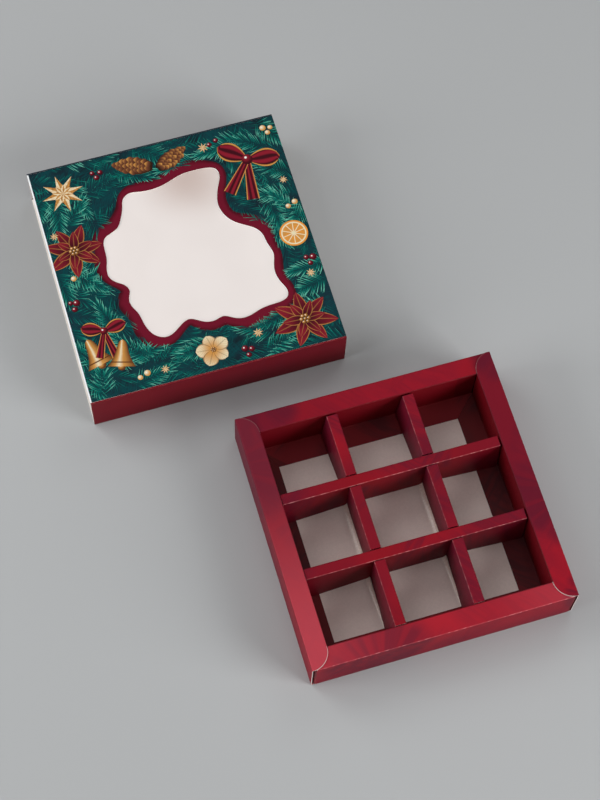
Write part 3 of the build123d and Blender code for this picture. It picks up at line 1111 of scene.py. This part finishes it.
class SWEETBOX_OT_add_divider_feet(Operator):
    """Add the unprinted feet that curl out on the floor to the left of the cross dividers"""

    bl_idname = "sweet_box.add_divider_feet"
    bl_label = "Add the dividers' feet"

    def execute(self, context):
        settings = context.scene.sweet_box_board
        feet = bmesh.new()
        low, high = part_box("tray_base")
        pitch = (high.x - low.x - 2 * RIM_WIDTH) / CELLS_ACROSS
        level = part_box("left_cross_divider")[0].z
        for right in (-pitch, 0):
            for back, at_front in ((-pitch, FRONT_FOOT_SHARE), (0, MIDDLE_FOOT_SHARE)):
                self.add_foot(context, feet, Vector((right, back, level + FOOT_RISE)), at_front)
        smooth_board = bare_board("divider_feet", settings.foot, settings.foot, roughness=0.22, specular=0.9)
        piece = new_piece(context, "divider_feet", feet, smooth_board)
        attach(piece, "cross_dividers")
        return {"FINISHED"}

    def add_foot(self, context, feet, cell, at_front):
        """Add the curled foot at the right of one cell. Its front end is at_front times its full size."""
        leg = self.hit(context, cell, (1, 0, 0)).x - FOOT_GAP
        beside = Vector((leg - FOOT_WIDTH, cell.y, cell.z))
        below = Vector((beside.x, cell.y, 1.5 * BOARD))
        front = max(self.hit(context, start, (0, -1, 0)).y for start in (beside, below)) + FOOT_GAP
        rear = min(self.hit(context, start, (0, 1, 0)).y for start in (beside, below)) - FOOT_GAP
        foot = bmesh.new()
        bmesh.ops.create_grid(foot, x_segments=FOOT_COLUMNS, y_segments=FOOT_ROWS, size=0.5)
        for vert in foot.verts:
            curl = math.radians(90) * (vert.co.x + 0.5)
            share = vert.co.y + 0.5
            full = at_front + (1 - at_front) * share
            tip = max(0, share - FOOT_TIP_START) / (1 - FOOT_TIP_START)
            rise = FOOT_RISE * (full + FOOT_TIP_RISE * tip)
            vert.co.x = leg - FOOT_WIDTH * full * (1 - math.sin(curl))
            vert.co.y = front + share * (rear - front)
            vert.co.z += cell.z - FOOT_RISE + rise * (1 - math.cos(curl))
        thicken(foot, (-FOOT_GAP / 2, 0, FOOT_GAP / 2))
        bmesh.ops.recalc_face_normals(foot, faces=foot.faces)
        gather(foot, feet)

    def hit(self, context, start, way):
        """Where a straight line from start first meets a piece."""
        return context.scene.ray_cast(context.evaluated_depsgraph_get(), start, way)[1]


class SWEETBOX_OT_finish_sleeve(Operator):
    """Put plain maroon on the sleeve's sides, the dark ground on its top, and clear film in its window"""

    bl_idname = "sweet_box.finish_sleeve"
    bl_label = "Finish the sleeve"

    def execute(self, context):
        board = context.scene.sweet_box_board
        art = context.scene.sweet_box_print
        sides = (
            ("sleeve_front_panel", -1, board.sleeve_maroon),
            ("sleeve_back_panel", 1, art.ground),
        )
        for node, outward, bead_colour in sides:
            dress(node, sleeve_side_print(f"{node}_print", board, outward, bead_colour))
        white = bare_board("sleeve_inside", board.sleeve_inside, board.sleeve_maroon)
        for node in ("sleeve_bottom_panel", "sleeve_glue_flap"):
            dress(node, white)
        dress("sleeve_top_panel", sleeve_ground("sleeve_ground", board, art))
        dress("window_film", clear_film("clear_film"))
        return {"FINISHED"}


class SleeveTop:
    """The printed top of the sleeve: its edges, its window and where a figure lies on it."""

    def __init__(self):
        self.low, self.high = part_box("sleeve_top_panel")
        self.middle = (self.low + self.high) / 2
        board = self.copy_of_panel()
        self.solid = BVHTree.FromBMesh(board)
        rim = [vert for edge in self.window_edges(board) for vert in edge.verts]
        self.rim = KDTree(len(rim))
        for index, vert in enumerate(rim):
            self.rim.insert(vert.co, index)
        self.rim.balance()
        board.free()

    def copy_of_panel(self):
        """A merged copy of the panel."""
        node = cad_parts["sleeve_top_panel"]
        board = bmesh.new()
        board.from_mesh(node.data)
        board.transform(node.matrix_world)
        bmesh.ops.remove_doubles(board, verts=board.verts, dist=MERGE)
        return board

    def window_edges(self, board):
        """Edges of the window's upper rim."""
        found = []
        for edge in board.edges:
            ups = sorted(face.normal.z for face in edge.link_faces)
            middle = (edge.verts[0].co + edge.verts[1].co) / 2
            insets = (*(middle - self.low)[:2], *(self.high - middle)[:2])
            if len(ups) == 2 and ups[0] < FLAT < ups[1] and min(insets) > BOARD:
                found.append(edge)
        return found

    def spot(self, right, back, layer):
        """A point on the print, in millimetres from the panel's middle, and a height above the panel."""
        return Vector((self.middle.x + right * MM, self.middle.y + back * MM, self.high.z + layer))

    def matrix(self, right, back, layer, turn=0.0):
        """Where a flat figure goes: its place in millimetres, its layer and its turn in degrees."""
        spin = Matrix.Rotation(math.radians(turn), 4, "Z")
        return Matrix.Translation(self.spot(right, back, layer)) @ spin

    def is_free(self, point, margin):
        """Whether a point lies on the panel, or beyond its edges, at least margin from the window."""
        above = Vector((point.x, point.y, self.high.z + MM))
        off_panel = not (self.low.x < point.x < self.high.x and self.low.y < point.y < self.high.y)
        if not off_panel and self.solid.ray_cast(above, Vector((0, 0, -1)), 2 * MM)[0] is None:
            return False
        level = Vector((point.x, point.y, self.high.z))
        return self.rim.find(level)[2] > margin


class Print:
    """Flat printed figures gathered into one piece on the sleeve's top."""

    def __init__(self, name, top):
        self.name = name
        self.top = top
        self.shape = blank()

    def add(self, figure, place, tone=0.5, finish=0):
        """Put a figure in place with its own tone and number of finish. The figure is used up."""
        tones = figure.verts.layers.float["tone"]
        for vert in figure.verts:
            vert[tones] += tone
        for face in figure.faces:
            face.material_index += finish
        figure.transform(place)
        gather(figure, self.shape)

    def close(self, context, *materials):
        """Cut the print off at the panel's edges and let the finished piece ride on the sleeve's top."""
        low, high = self.top.low + Vector((LEFT_MARGIN, 0, 0)), self.top.high
        for corner, way in ((low, (-1, 0, 0)), (low, (0, -1, 0)), (high, (1, 0, 0)), (high, (0, 1, 0))):
            cut_across(self.shape, corner, way, clear_outer=True)
            cut = [edge for edge in self.shape.edges if edge.is_boundary]
            bmesh.ops.holes_fill(self.shape, edges=cut, sides=0)
        bmesh.ops.recalc_face_normals(self.shape, faces=self.shape.faces)
        piece = new_piece(context, self.name, self.shape, *materials)
        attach(piece, "sleeve_top")


def leaf(length, width, shape_of, rows=10, columns=4):
    """A flat figure along +Y. shape_of gives its share of the width at each share of its length."""
    figure = blank()
    across = figure.verts.layers.float["across"]
    along = figure.verts.layers.float["along"]
    bmesh.ops.create_grid(figure, x_segments=columns, y_segments=rows, size=0.5)
    for vert in figure.verts:
        vert[across] = 2 * vert.co.x
        vert[along] = vert.co.y + 0.5
        half = shape_of(min(max(vert[along], 0), 1)) * width / 2
        vert.co = (vert[across] * half, vert[along] * length, 0)
    bmesh.ops.remove_doubles(figure, verts=figure.verts, dist=MERGE)
    return thicken(figure)


def disc(radius, points):
    """A flat round figure. Its layers give the place across and along it, from -1 to 1."""
    figure = blank()
    bmesh.ops.create_circle(figure, cap_ends=True, cap_tris=True, segments=points, radius=radius)
    across = figure.verts.layers.float["across"]
    along = figure.verts.layers.float["along"]
    for vert in figure.verts:
        vert[across] = vert.co.x / radius
        vert[along] = vert.co.y / radius
    return thicken(figure)


def star(radius, waist=STAR_WAIST):
    """A flat star. Every second facet takes the second finish."""
    figure = blank()
    bmesh.ops.create_circle(figure, cap_ends=True, cap_tris=True, segments=2 * STAR_POINTS, radius=radius)
    facet = math.pi / STAR_POINTS
    for face in figure.faces:
        middle = face.calc_center_median()
        face.material_index = int((math.atan2(middle.y, middle.x) % math.tau) / facet) % 2
    corners = [vert for vert in figure.verts if vert.co.length > radius / 2]
    first = math.atan2(corners[0].co.y, corners[0].co.x)
    for vert in corners:
        if round((math.atan2(vert.co.y, vert.co.x) - first) / facet) % 2:
            vert.co *= waist
    return thicken(figure)


def petal_shape(share):
    return math.sin(math.pi * share**0.8) ** 0.8


def round_petal_shape(share):
    return math.sin(math.pi * share**1.3) ** 0.6


def bell_shape(share):
    return (0.36 + 0.64 * (1 - share) ** 2.4) * (1 - share**7) ** 0.5


def ribbon_shape(share):
    return 0.45 + 0.55 * share


def cone_shape(share):
    return math.sin(math.pi * (0.12 + 0.86 * share)) ** 0.75


def needle_blade():
    """A needle one long and one wide: a ridge with three faces, cut where it bends."""
    blade = bmesh.new()
    bmesh.ops.create_cone(blade, cap_ends=True, segments=3, radius1=0.5, radius2=0, depth=1)
    bmesh.ops.rotate(blade, verts=blade.verts, matrix=Matrix.Rotation(math.radians(90), 3, "Y"))
    bmesh.ops.translate(blade, verts=blade.verts, vec=(0.5, 0, 0))
    for share in NEEDLE_CREASES:
        cut_across(blade, (share, 0, 0), (1, 0, 0))
    for vert in blade.verts:
        if 0 < vert.co.x < 1:
            full = NEEDLE_FULLNESS / (1 - vert.co.x)
            vert.co.y *= full
            vert.co.z *= full
    sheet = bpy.data.meshes.new("needle")
    blade.to_mesh(sheet)
    blade.free()
    return sheet


class FirSpray:
    """One fir spray: needles on both sides of a bent twig and a fan of them at its tip."""

    def __init__(self, top, art, chance, blade):
        self.top = top
        self.art = art
        self.chance = chance
        self.blade = blade
        self.figure = blank()
        self.across = self.figure.verts.layers.float["across"]
        self.along = self.figure.verts.layers.float["along"]
        self.tone = self.figure.verts.layers.float["tone"]

    def blade_at(self, foot, heading, length, width, bend, rise):
        """Lay one blade with its foot on a point, curling by bend over its length."""
        known = len(self.figure.verts)
        self.figure.from_mesh(self.blade)
        self.figure.verts.ensure_lookup_table()
        tone = self.chance.uniform(-NEEDLE_TONE_SPREAD, NEEDLE_TONE_SPREAD)
        side = Vector((-heading.y, heading.x, 0))
        for vert in self.figure.verts[known:]:
            share, breadth, ridge = vert.co
            vert[self.tone] = tone
            vert[self.across] = 2 * breadth
            vert[self.along] = share
            flat = foot + heading * (share * length) + side * (bend * share * share + breadth * width)
            vert.co = (flat.x, flat.y, foot.z + rise + ridge * NEEDLE_RIDGE)

    def grow(self, foot, heading, length, rise):
        """Grow the spray from its foot. What would cover the border is made shorter or left out."""
        chance = self.chance
        needle = self.art.needle_length * chance.uniform(*NEEDLE_LENGTHS)
        width = self.art.needle_width
        side = Vector((-heading.y, heading.x, 0))
        bow = length * chance.uniform(-SPRAY_BOW, SPRAY_BOW)
        steps = int(length / (NEEDLE_PITCH * width))
        for step in range(steps + 1):
            share = step / steps
            twig = foot + heading * (share * length) + side * (bow * share * share)
            if not self.top.is_free(twig, TWIG_MARGIN):
                break
            ahead = (heading * length + side * (2 * bow * share)).normalized()
            for way in (-1, 1):
                lean = NEEDLE_LEAN - NEEDLE_LEAN_FALL * share**1.5
                lean += chance.uniform(-NEEDLE_LEAN_SPREAD, NEEDLE_LEAN_SPREAD)
                pointing = Matrix.Rotation(way * math.radians(lean), 3, "Z") @ ahead
                reach = needle * (1 - NEEDLE_TAPER * share) * chance.uniform(*NEEDLE_REACHES)
                bend = -way * reach * chance.uniform(*NEEDLE_BENDS)
                lift = rise + chance.uniform(0, NEEDLE_SPREAD)
                for shorter in NEEDLE_CUTS:
                    if self.top.is_free(twig + pointing * (reach * shorter), NEEDLE_MARGIN):
                        self.blade_at(twig, pointing, reach * shorter, width, bend * shorter, lift)
                        break
        return self.figure


class SWEETBOX_OT_print_border(Operator):
    """Print the maroon band that follows the window's edge"""

    bl_idname = "sweet_box.print_border"
    bl_label = "Print the border"

    def execute(self, context):
        art = context.scene.sweet_box_print
        top = SleeveTop()
        band = top.copy_of_panel()
        away = band.verts.layers.float_vector.new("away")
        across = band.verts.layers.float.new("across")
        ring = top.window_edges(band)
        rim = {vert for edge in ring for vert in edge.verts}
        for vert in rim:
            inward = sum((face.normal for face in vert.link_faces if abs(face.normal.z) < SQUARE), Vector())
            vert[away] = -Vector((inward.x, inward.y, 0)).normalized()
        bmesh.ops.delete(band, geom=band.faces[:], context="FACES_ONLY")
        spare = [edge for edge in band.edges if edge not in set(ring)]
        bmesh.ops.delete(band, geom=spare, context="EDGES")
        loose = [vert for vert in band.verts if not vert.link_edges]
        bmesh.ops.delete(band, geom=loose, context="VERTS")
        for step in range(1, BORDER_STEPS + 1):
            made = bmesh.ops.extrude_edge_only(band, edges=ring)["geom"]
            outer = [part for part in made if isinstance(part, BMVert)]
            ring = [part for part in made if isinstance(part, BMEdge) and set(part.verts) <= set(outer)]
            for vert in outer:
                around = math.atan2(vert.co.y - top.middle.y, vert.co.x - top.middle.x)
                swells = [size * math.sin(times * around + start) for size, times, start in BORDER_SWELLS]
                vert.co += vert[away] * (art.border_width * (1 + sum(swells)) / BORDER_STEPS)
                vert[across] = step / BORDER_STEPS
            bmesh.ops.smooth_vert(band, verts=outer, factor=0.5, use_axis_x=True, use_axis_y=True)
        thicken(band)
        bmesh.ops.translate(band, verts=band.verts, vec=(0, 0, BORDER_LAYER))
        band.verts.layers.float.new("along")
        band.verts.layers.float.new("tone")
        border = Print("window_border", top)
        border.add(band, Matrix.Identity(4))
        border.close(context, band_print("window_border", art))
        return {"FINISHED"}


class SWEETBOX_OT_print_fir(Operator):
    """Print the fir sprays round the window"""

    bl_idname = "sweet_box.print_fir"
    bl_label = "Print the fir sprays"

    def execute(self, context):
        art = context.scene.sweet_box_print
        top = SleeveTop()
        chance = random.Random(art.seed)
        blade = needle_blade()
        feet = self.spread_feet(top, art, chance)
        behind = int(len(feet) * FIR_BEHIND_SHARE)
        layers = (
            ("fir_behind", feet[:behind], FIR_BEHIND_LAYER, FIR_BEHIND_TONES),
            ("fir_sprays", feet[behind:], FIR_LAYER, FIR_TONES),
        )
        needles = fir_print("fir_needles", art)
        for name, places, layer, tones in layers:
            sprays = Print(name, top)
            for index, (foot, heading) in enumerate(places):
                spray = FirSpray(top, art, chance, blade)
                rise = layer + SPRAY_STEP * index
                length = chance.uniform(*SPRAY_LENGTHS) * art.needle_length
                grown = spray.grow(foot, heading, length, rise)
                sprays.add(grown, Matrix.Identity(4), tone=chance.uniform(*tones))
            sprays.close(context, needles)
        bpy.data.meshes.remove(blade)
        return {"FINISHED"}

    def spread_feet(self, top, art, chance):
        """Well spread feet of the sprays, and which way each one grows."""
        feet = []
        half = (top.high - top.low) / 2
        while len(feet) < art.spray_count:
            tries = []
            for attempt in range(SPRAY_TRIES):
                right = chance.uniform(-SPRAY_OVERHANG, SPRAY_OVERHANG) * half.x
                back = chance.uniform(-SPRAY_OVERHANG, SPRAY_OVERHANG) * half.y
                shift = Vector((right, back, 0))
                point = Vector((top.middle.x, top.middle.y, top.high.z)) + shift
                if top.is_free(point, SPRAY_MARGIN):
                    nearest = min((Vector(point - other[0]).length for other in feet), default=1.0)
                    tries.append((nearest, tuple(shift), point))
            if tries:
                shift, point = max(tries)[1:]
                inward = (-Vector(shift)).normalized()
                turn = math.radians(chance.choice((-1, 1)) * chance.uniform(*SPRAY_TURNS))
                feet.append((point, Matrix.Rotation(turn, 3, "Z") @ inward))
        return feet


class SWEETBOX_OT_print_stars(Operator):
    """Print the large pale star and the small ones"""

    bl_idname = "sweet_box.print_stars"
    bl_label = "Print the stars"

    def execute(self, context):
        art = context.scene.sweet_box_print
        top = SleeveTop()
        stars = Print("printed_stars", top)
        for right, back, radius, turn in STARS:
            stars.add(star(radius * MM), top.matrix(right, back, FRONT_LAYER, turn))
            if radius > SMALL_STAR:
                between = turn + 180 / STAR_POINTS
                inner = star(INNER_STAR_SHARE * radius * MM, INNER_STAR_WAIST)
                stars.add(inner, top.matrix(right, back, FRONT_LAYER + INK, between))
        light = facet_print("star_light", art.cream, art.gold)
        dark = facet_print("star_dark", art.gold, art.gold_shade)
        stars.close(context, light, dark)
        return {"FINISHED"}


class SWEETBOX_OT_print_blossoms(Operator):
    """Print the maroon blossoms and the pale one"""

    bl_idname = "sweet_box.print_blossoms"
    bl_label = "Print the blossoms"

    def execute(self, context):
        art = context.scene.sweet_box_print
        top = SleeveTop()
        chance = random.Random(art.seed + 1)
        blossoms = Print("printed_blossoms", top)
        for right, back, radius, turn, pale in BLOSSOMS:
            layer = FRONT_LAYER if pale else BLOSSOM_LAYER
            shape_of = round_petal_shape if pale else petal_shape
            for ring, (count, reach, breadth) in enumerate(PALE_RINGS if pale else MAROON_RINGS):
                for number in range(count):
                    length = reach * radius * MM * chance.uniform(*PETAL_LENGTHS)
                    petal = leaf(length, breadth * length, shape_of)
                    lift = layer + INK * (PETAL_STEP * number + RING_STEP * ring)
                    spin = turn + 360 * (number + 0.5 * ring) / count
                    spin += chance.uniform(-PETAL_TURN_SPREAD, PETAL_TURN_SPREAD)
                    place = top.matrix(right, back, lift, spin)
                    blossoms.add(petal, place, tone=chance.random(), finish=1 if pale else 0)
            for number in range(HEART_BEADS):
                reach = HEART_REACH_SHARE * radius if number else 0
                bead = turned(reach, 0, 360 * number / (HEART_BEADS - 1))
                place = top.matrix(right + bead.x, back + bead.y, layer + HEART_STEP * INK)
                heart = disc(BEAD_SHARE * radius * MM, points=10)
                blossoms.add(heart, place, tone=chance.random(), finish=2)
        blossoms.close(
            context,
            petal_print("blossom_petals", art.blossom_shade, art.blossom, art.gold),
            petal_print("pale_petals", art.gold, art.cream, art.gold_shade),
            berry_print("blossom_hearts", art.gold_shade, art.gold),
        )
        return {"FINISHED"}


class SWEETBOX_OT_print_bells(Operator):
    """Print the two gold bells"""

    bl_idname = "sweet_box.print_bells"
    bl_label = "Print the bells"

    def execute(self, context):
        art = context.scene.sweet_box_print
        top = SleeveTop()
        bells = Print("printed_bells", top)
        for number, (right, back, height, turn) in enumerate(BELLS):
            layer = FRONT_LAYER + 4 * number * INK
            size = height * MM
            swing = turned(0, -CLAPPER_DROP_SHARE * height, turn)
            clapper = top.matrix(right + swing.x, back + swing.y, layer, turn)
            bells.add(disc(CLAPPER_SHARE * size, points=14), clapper, finish=1)
            bell = leaf(size, BELL_WIDTH_SHARE * size, bell_shape, rows=14, columns=6)
            bells.add(bell, top.matrix(right, back, layer + INK, turn))
        bells.close(context, gold_print("bell_gold", art), berry_print("clappers", art.gold_shade, art.gold))
        return {"FINISHED"}


class SWEETBOX_OT_print_ribbons(Operator):
    """Print the two maroon bows with gold edges"""

    bl_idname = "sweet_box.print_ribbons"
    bl_label = "Print the ribbons"

    def execute(self, context):
        art = context.scene.sweet_box_print
        top = SleeveTop()
        ribbons = Print("printed_ribbons", top)
        for right, back, reach, turn in BOWS:
            size = reach * MM
            for number, (lean, length, breadth) in enumerate(BOW_PARTS):
                shape_of = round_petal_shape if length < 1 else ribbon_shape
                part = leaf(length * size, breadth * size, shape_of, rows=12, columns=6)
                place = top.matrix(right, back, FRONT_LAYER + INK * (2 + number), turn + lean)
                ribbons.add(part, place, tone=number / len(BOW_PARTS))
            knot = top.matrix(right, back, FRONT_LAYER + INK * (3 + len(BOW_PARTS)), turn)
            ribbons.add(disc(KNOT_SHARE * size, points=16), knot, tone=0.9, finish=1)
        ribbons.close(
            context,
            ribbon_print("ribbon", art),
            berry_print("ribbon_knots", art.blossom_shade, art.blossom),
        )
        return {"FINISHED"}


class SWEETBOX_OT_print_cones(Operator):
    """Print the fir cones"""

    bl_idname = "sweet_box.print_cones"
    bl_label = "Print the cones"

    def execute(self, context):
        art = context.scene.sweet_box_print
        top = SleeveTop()
        chance = random.Random(art.seed + 2)
        cones = Print("printed_cones", top)
        for right, back, length, turn in CONES:
            foot = turned(0, -length / 2, turn)
            core = leaf(length * MM, CONE_WIDTH_SHARE * length * MM, cone_shape)
            cones.add(core, top.matrix(right + foot.x, back + foot.y, FRONT_LAYER, turn), tone=-0.6)
            for row in range(CONE_ROWS):
                share = row / (CONE_ROWS - 1)
                breadth = CONE_REACH_SHARE * length * cone_shape(share)
                count = max(1, round(breadth / (SCALE_PITCH_SHARE * length)))
                for number in range(count):
                    aside = breadth * ((2 * number + 1 + 0.5 * (row % 2)) / count - 1) * 0.9
                    spot = turned(aside, (share - 0.5) * CONE_RUN_SHARE * length, turn)
                    long, wide = (size * length * MM for size in SCALE_SHARES)
                    scale = leaf(long, wide, petal_shape, rows=5)
                    lift = FRONT_LAYER + INK * (1 + 0.45 * (CONE_ROWS - row) + 0.06 * number)
                    lean = turn - SCALE_LEAN * aside / (SCALE_LEAN_SHARE * length)
                    lean += chance.uniform(-SCALE_LEAN_SPREAD, SCALE_LEAN_SPREAD)
                    place = top.matrix(right + spot.x, back + spot.y, lift, lean)
                    cones.add(scale, place, tone=chance.random())
        cones.close(context, scale_print("cone_scales", art))
        return {"FINISHED"}


class SWEETBOX_OT_print_fruit(Operator):
    """Print the dried orange slice and the berries"""

    bl_idname = "sweet_box.print_fruit"
    bl_label = "Print the fruit"

    def execute(self, context):
        art = context.scene.sweet_box_print
        top = SleeveTop()
        chance = random.Random(art.seed + 3)
        fruit = Print("printed_fruit", top)
        for right, back, radius, turn in ORANGES:
            fruit.add(disc(radius * MM, points=32), top.matrix(right, back, FRONT_LAYER, turn))
        for right, back, count, pale in BERRIES:
            for number in range(count):
                around = number * math.tau / count + chance.uniform(0, 0.6)
                reach = BERRY_REACH if count > 1 else 0
                place = top.matrix(
                    right + reach * math.cos(around),
                    back + reach * math.sin(around),
                    FRONT_LAYER + INK * (1 + 0.5 * number),
                )
                berry = disc(chance.uniform(*BERRY_RADII) * MM, points=16)
                fruit.add(berry, place, tone=chance.random(), finish=2 if pale else 1)
        fruit.close(
            context,
            slice_print("orange_slice", art),
            berry_print("red_berries", art.blossom_shade, art.blossom),
            berry_print("pale_berries", art.gold, art.cream),
        )
        return {"FINISHED"}


class SWEETBOX_OT_build_stage(Operator):
    """Lay the floor, set up the lamps and place the camera"""

    bl_idname = "sweet_box.build_stage"
    bl_label = "Build the stage"

    def execute(self, context):
        stage = context.scene.sweet_box_stage
        self.lay_floor(context, stage)
        self.light_world(context, stage)
        self.hang_lamps(context, stage)
        self.place_camera(context, stage)
        return {"FINISHED"}

    def lay_floor(self, context, stage):
        shape = bmesh.new()
        low, high = cad_box
        middle = (low + high) / 2
        bmesh.ops.create_circle(shape, cap_ends=True, segments=FLOOR_POINTS, radius=stage.floor_radius)
        bmesh.ops.translate(shape, verts=shape.verts, vec=(middle.x, middle.y, -FLOOR_DROP))
        floor = new_piece(context, "floor", shape, floor_paper("floor_paper", stage, middle))

    def light_world(self, context, stage):
        sky = Finish("studio", "worlds")
        even = {"Color": SKY_TINT, "Strength": stage.sky_level}
        light = sky.node("ShaderNodeBackground", None, even)
        seen = sky.node("ShaderNodeBackground", None, {"Color": opaque(stage.floor)})
        rays = sky.node("ShaderNodeLightPath", output="Is Camera Ray")
        mirrored = sky.larger(rays.other("Is Glossy Ray"), rays.other("Is Transmission Ray"))
        shown = sky.larger(rays, mirrored)
        choice = sky.node("ShaderNodeMixShader", None, {0: shown, 1: light, 2: seen})
        sky.node("ShaderNodeOutputWorld", None, {"Surface": choice})
        context.scene.world = sky.material

    def hang_lamps(self, context, stage):
        low, high = cad_box
        aim = Vector(((low.x + high.x) / 2, (low.y + high.y) / 2, 0))
        for name, around, up, share in LAMPS:
            turn = Matrix.Rotation(math.radians(around), 4, "Z") @ Matrix.Rotation(math.radians(-up), 4, "Y")
            lamp = bpy.data.lights.new(name, "AREA")
            lamp.size = stage.lamp_size
            lamp.energy = share * stage.lamp_power
            hung = bpy.data.objects.new(name, lamp)
            hung.location = aim + turn @ Vector((stage.lamp_reach, 0, 0))
            hung.rotation_euler = (aim - hung.location).to_track_quat("-Z", "Y").to_euler()
            context.scene.collection.objects.link(hung)

    def place_camera(self, context, stage):
        lens = bpy.data.cameras.new("camera")
        lens.sensor_width = SENSOR_WIDTH
        lens.lens = stage.lens
        lens.clip_start = NEAREST_SEEN
        lens.clip_end = FARTHEST_SEEN
        camera = bpy.data.objects.new("camera", lens)
        camera.location = stage.camera_place
        camera.rotation_euler = stage.camera_turn
        context.scene.collection.objects.link(camera)
        context.scene.camera = camera
        context.scene.view_settings.view_transform = "Standard"


class SWEETBOX_PT_panel(Panel):
    """Lists the steps and settings of the sweet box"""

    bl_idname = "SWEETBOX_PT_panel"
    bl_label = "Sweet Box"
    bl_space_type = "VIEW_3D"
    bl_region_type = "UI"
    bl_category = "Sweet Box"

    def draw(self, context):
        layout = self.layout
        for step in STEPS:
            layout.operator(step.bl_idname)
        for settings in ("sweet_box_board", "sweet_box_print", "sweet_box_stage"):
            group = getattr(context.scene, settings)
            box = layout.box()
            for name in group.__annotations__:
                box.prop(group, name)


STEPS = (
    SWEETBOX_OT_build_stage,
    SWEETBOX_OT_finish_tray,
    SWEETBOX_OT_finish_dividers,
    SWEETBOX_OT_add_divider_feet,
    SWEETBOX_OT_finish_sleeve,
    SWEETBOX_OT_print_border,
    SWEETBOX_OT_print_fir,
    SWEETBOX_OT_print_blossoms,
    SWEETBOX_OT_print_stars,
    SWEETBOX_OT_print_bells,
    SWEETBOX_OT_print_ribbons,
    SWEETBOX_OT_print_cones,
    SWEETBOX_OT_print_fruit,
)
SETTINGS = (BoardSettings, PrintSettings, StageSettings)


def register():
    for part in SETTINGS + STEPS + (SWEETBOX_PT_panel,):
        bpy.utils.register_class(part)
    bpy.types.Scene.sweet_box_board = PointerProperty(type=BoardSettings)
    bpy.types.Scene.sweet_box_print = PointerProperty(type=PrintSettings)
    bpy.types.Scene.sweet_box_stage = PointerProperty(type=StageSettings)


def unregister():
    del bpy.types.Scene.sweet_box_stage
    del bpy.types.Scene.sweet_box_print
    del bpy.types.Scene.sweet_box_board
    for part in reversed(SETTINGS + STEPS + (SWEETBOX_PT_panel,)):
        bpy.utils.unregister_class(part)


def main():
    register()
    bpy.ops.sweet_box.build_stage()
    bpy.ops.sweet_box.finish_tray()
    bpy.ops.sweet_box.finish_dividers()
    bpy.ops.sweet_box.add_divider_feet()
    bpy.ops.sweet_box.finish_sleeve()
    bpy.ops.sweet_box.print_border()
    bpy.ops.sweet_box.print_fir()
    bpy.ops.sweet_box.print_blossoms()
    bpy.ops.sweet_box.print_stars()
    bpy.ops.sweet_box.print_bells()
    bpy.ops.sweet_box.print_ribbons()
    bpy.ops.sweet_box.print_cones()
    bpy.ops.sweet_box.print_fruit()


if __name__ == "__main__":
    main()
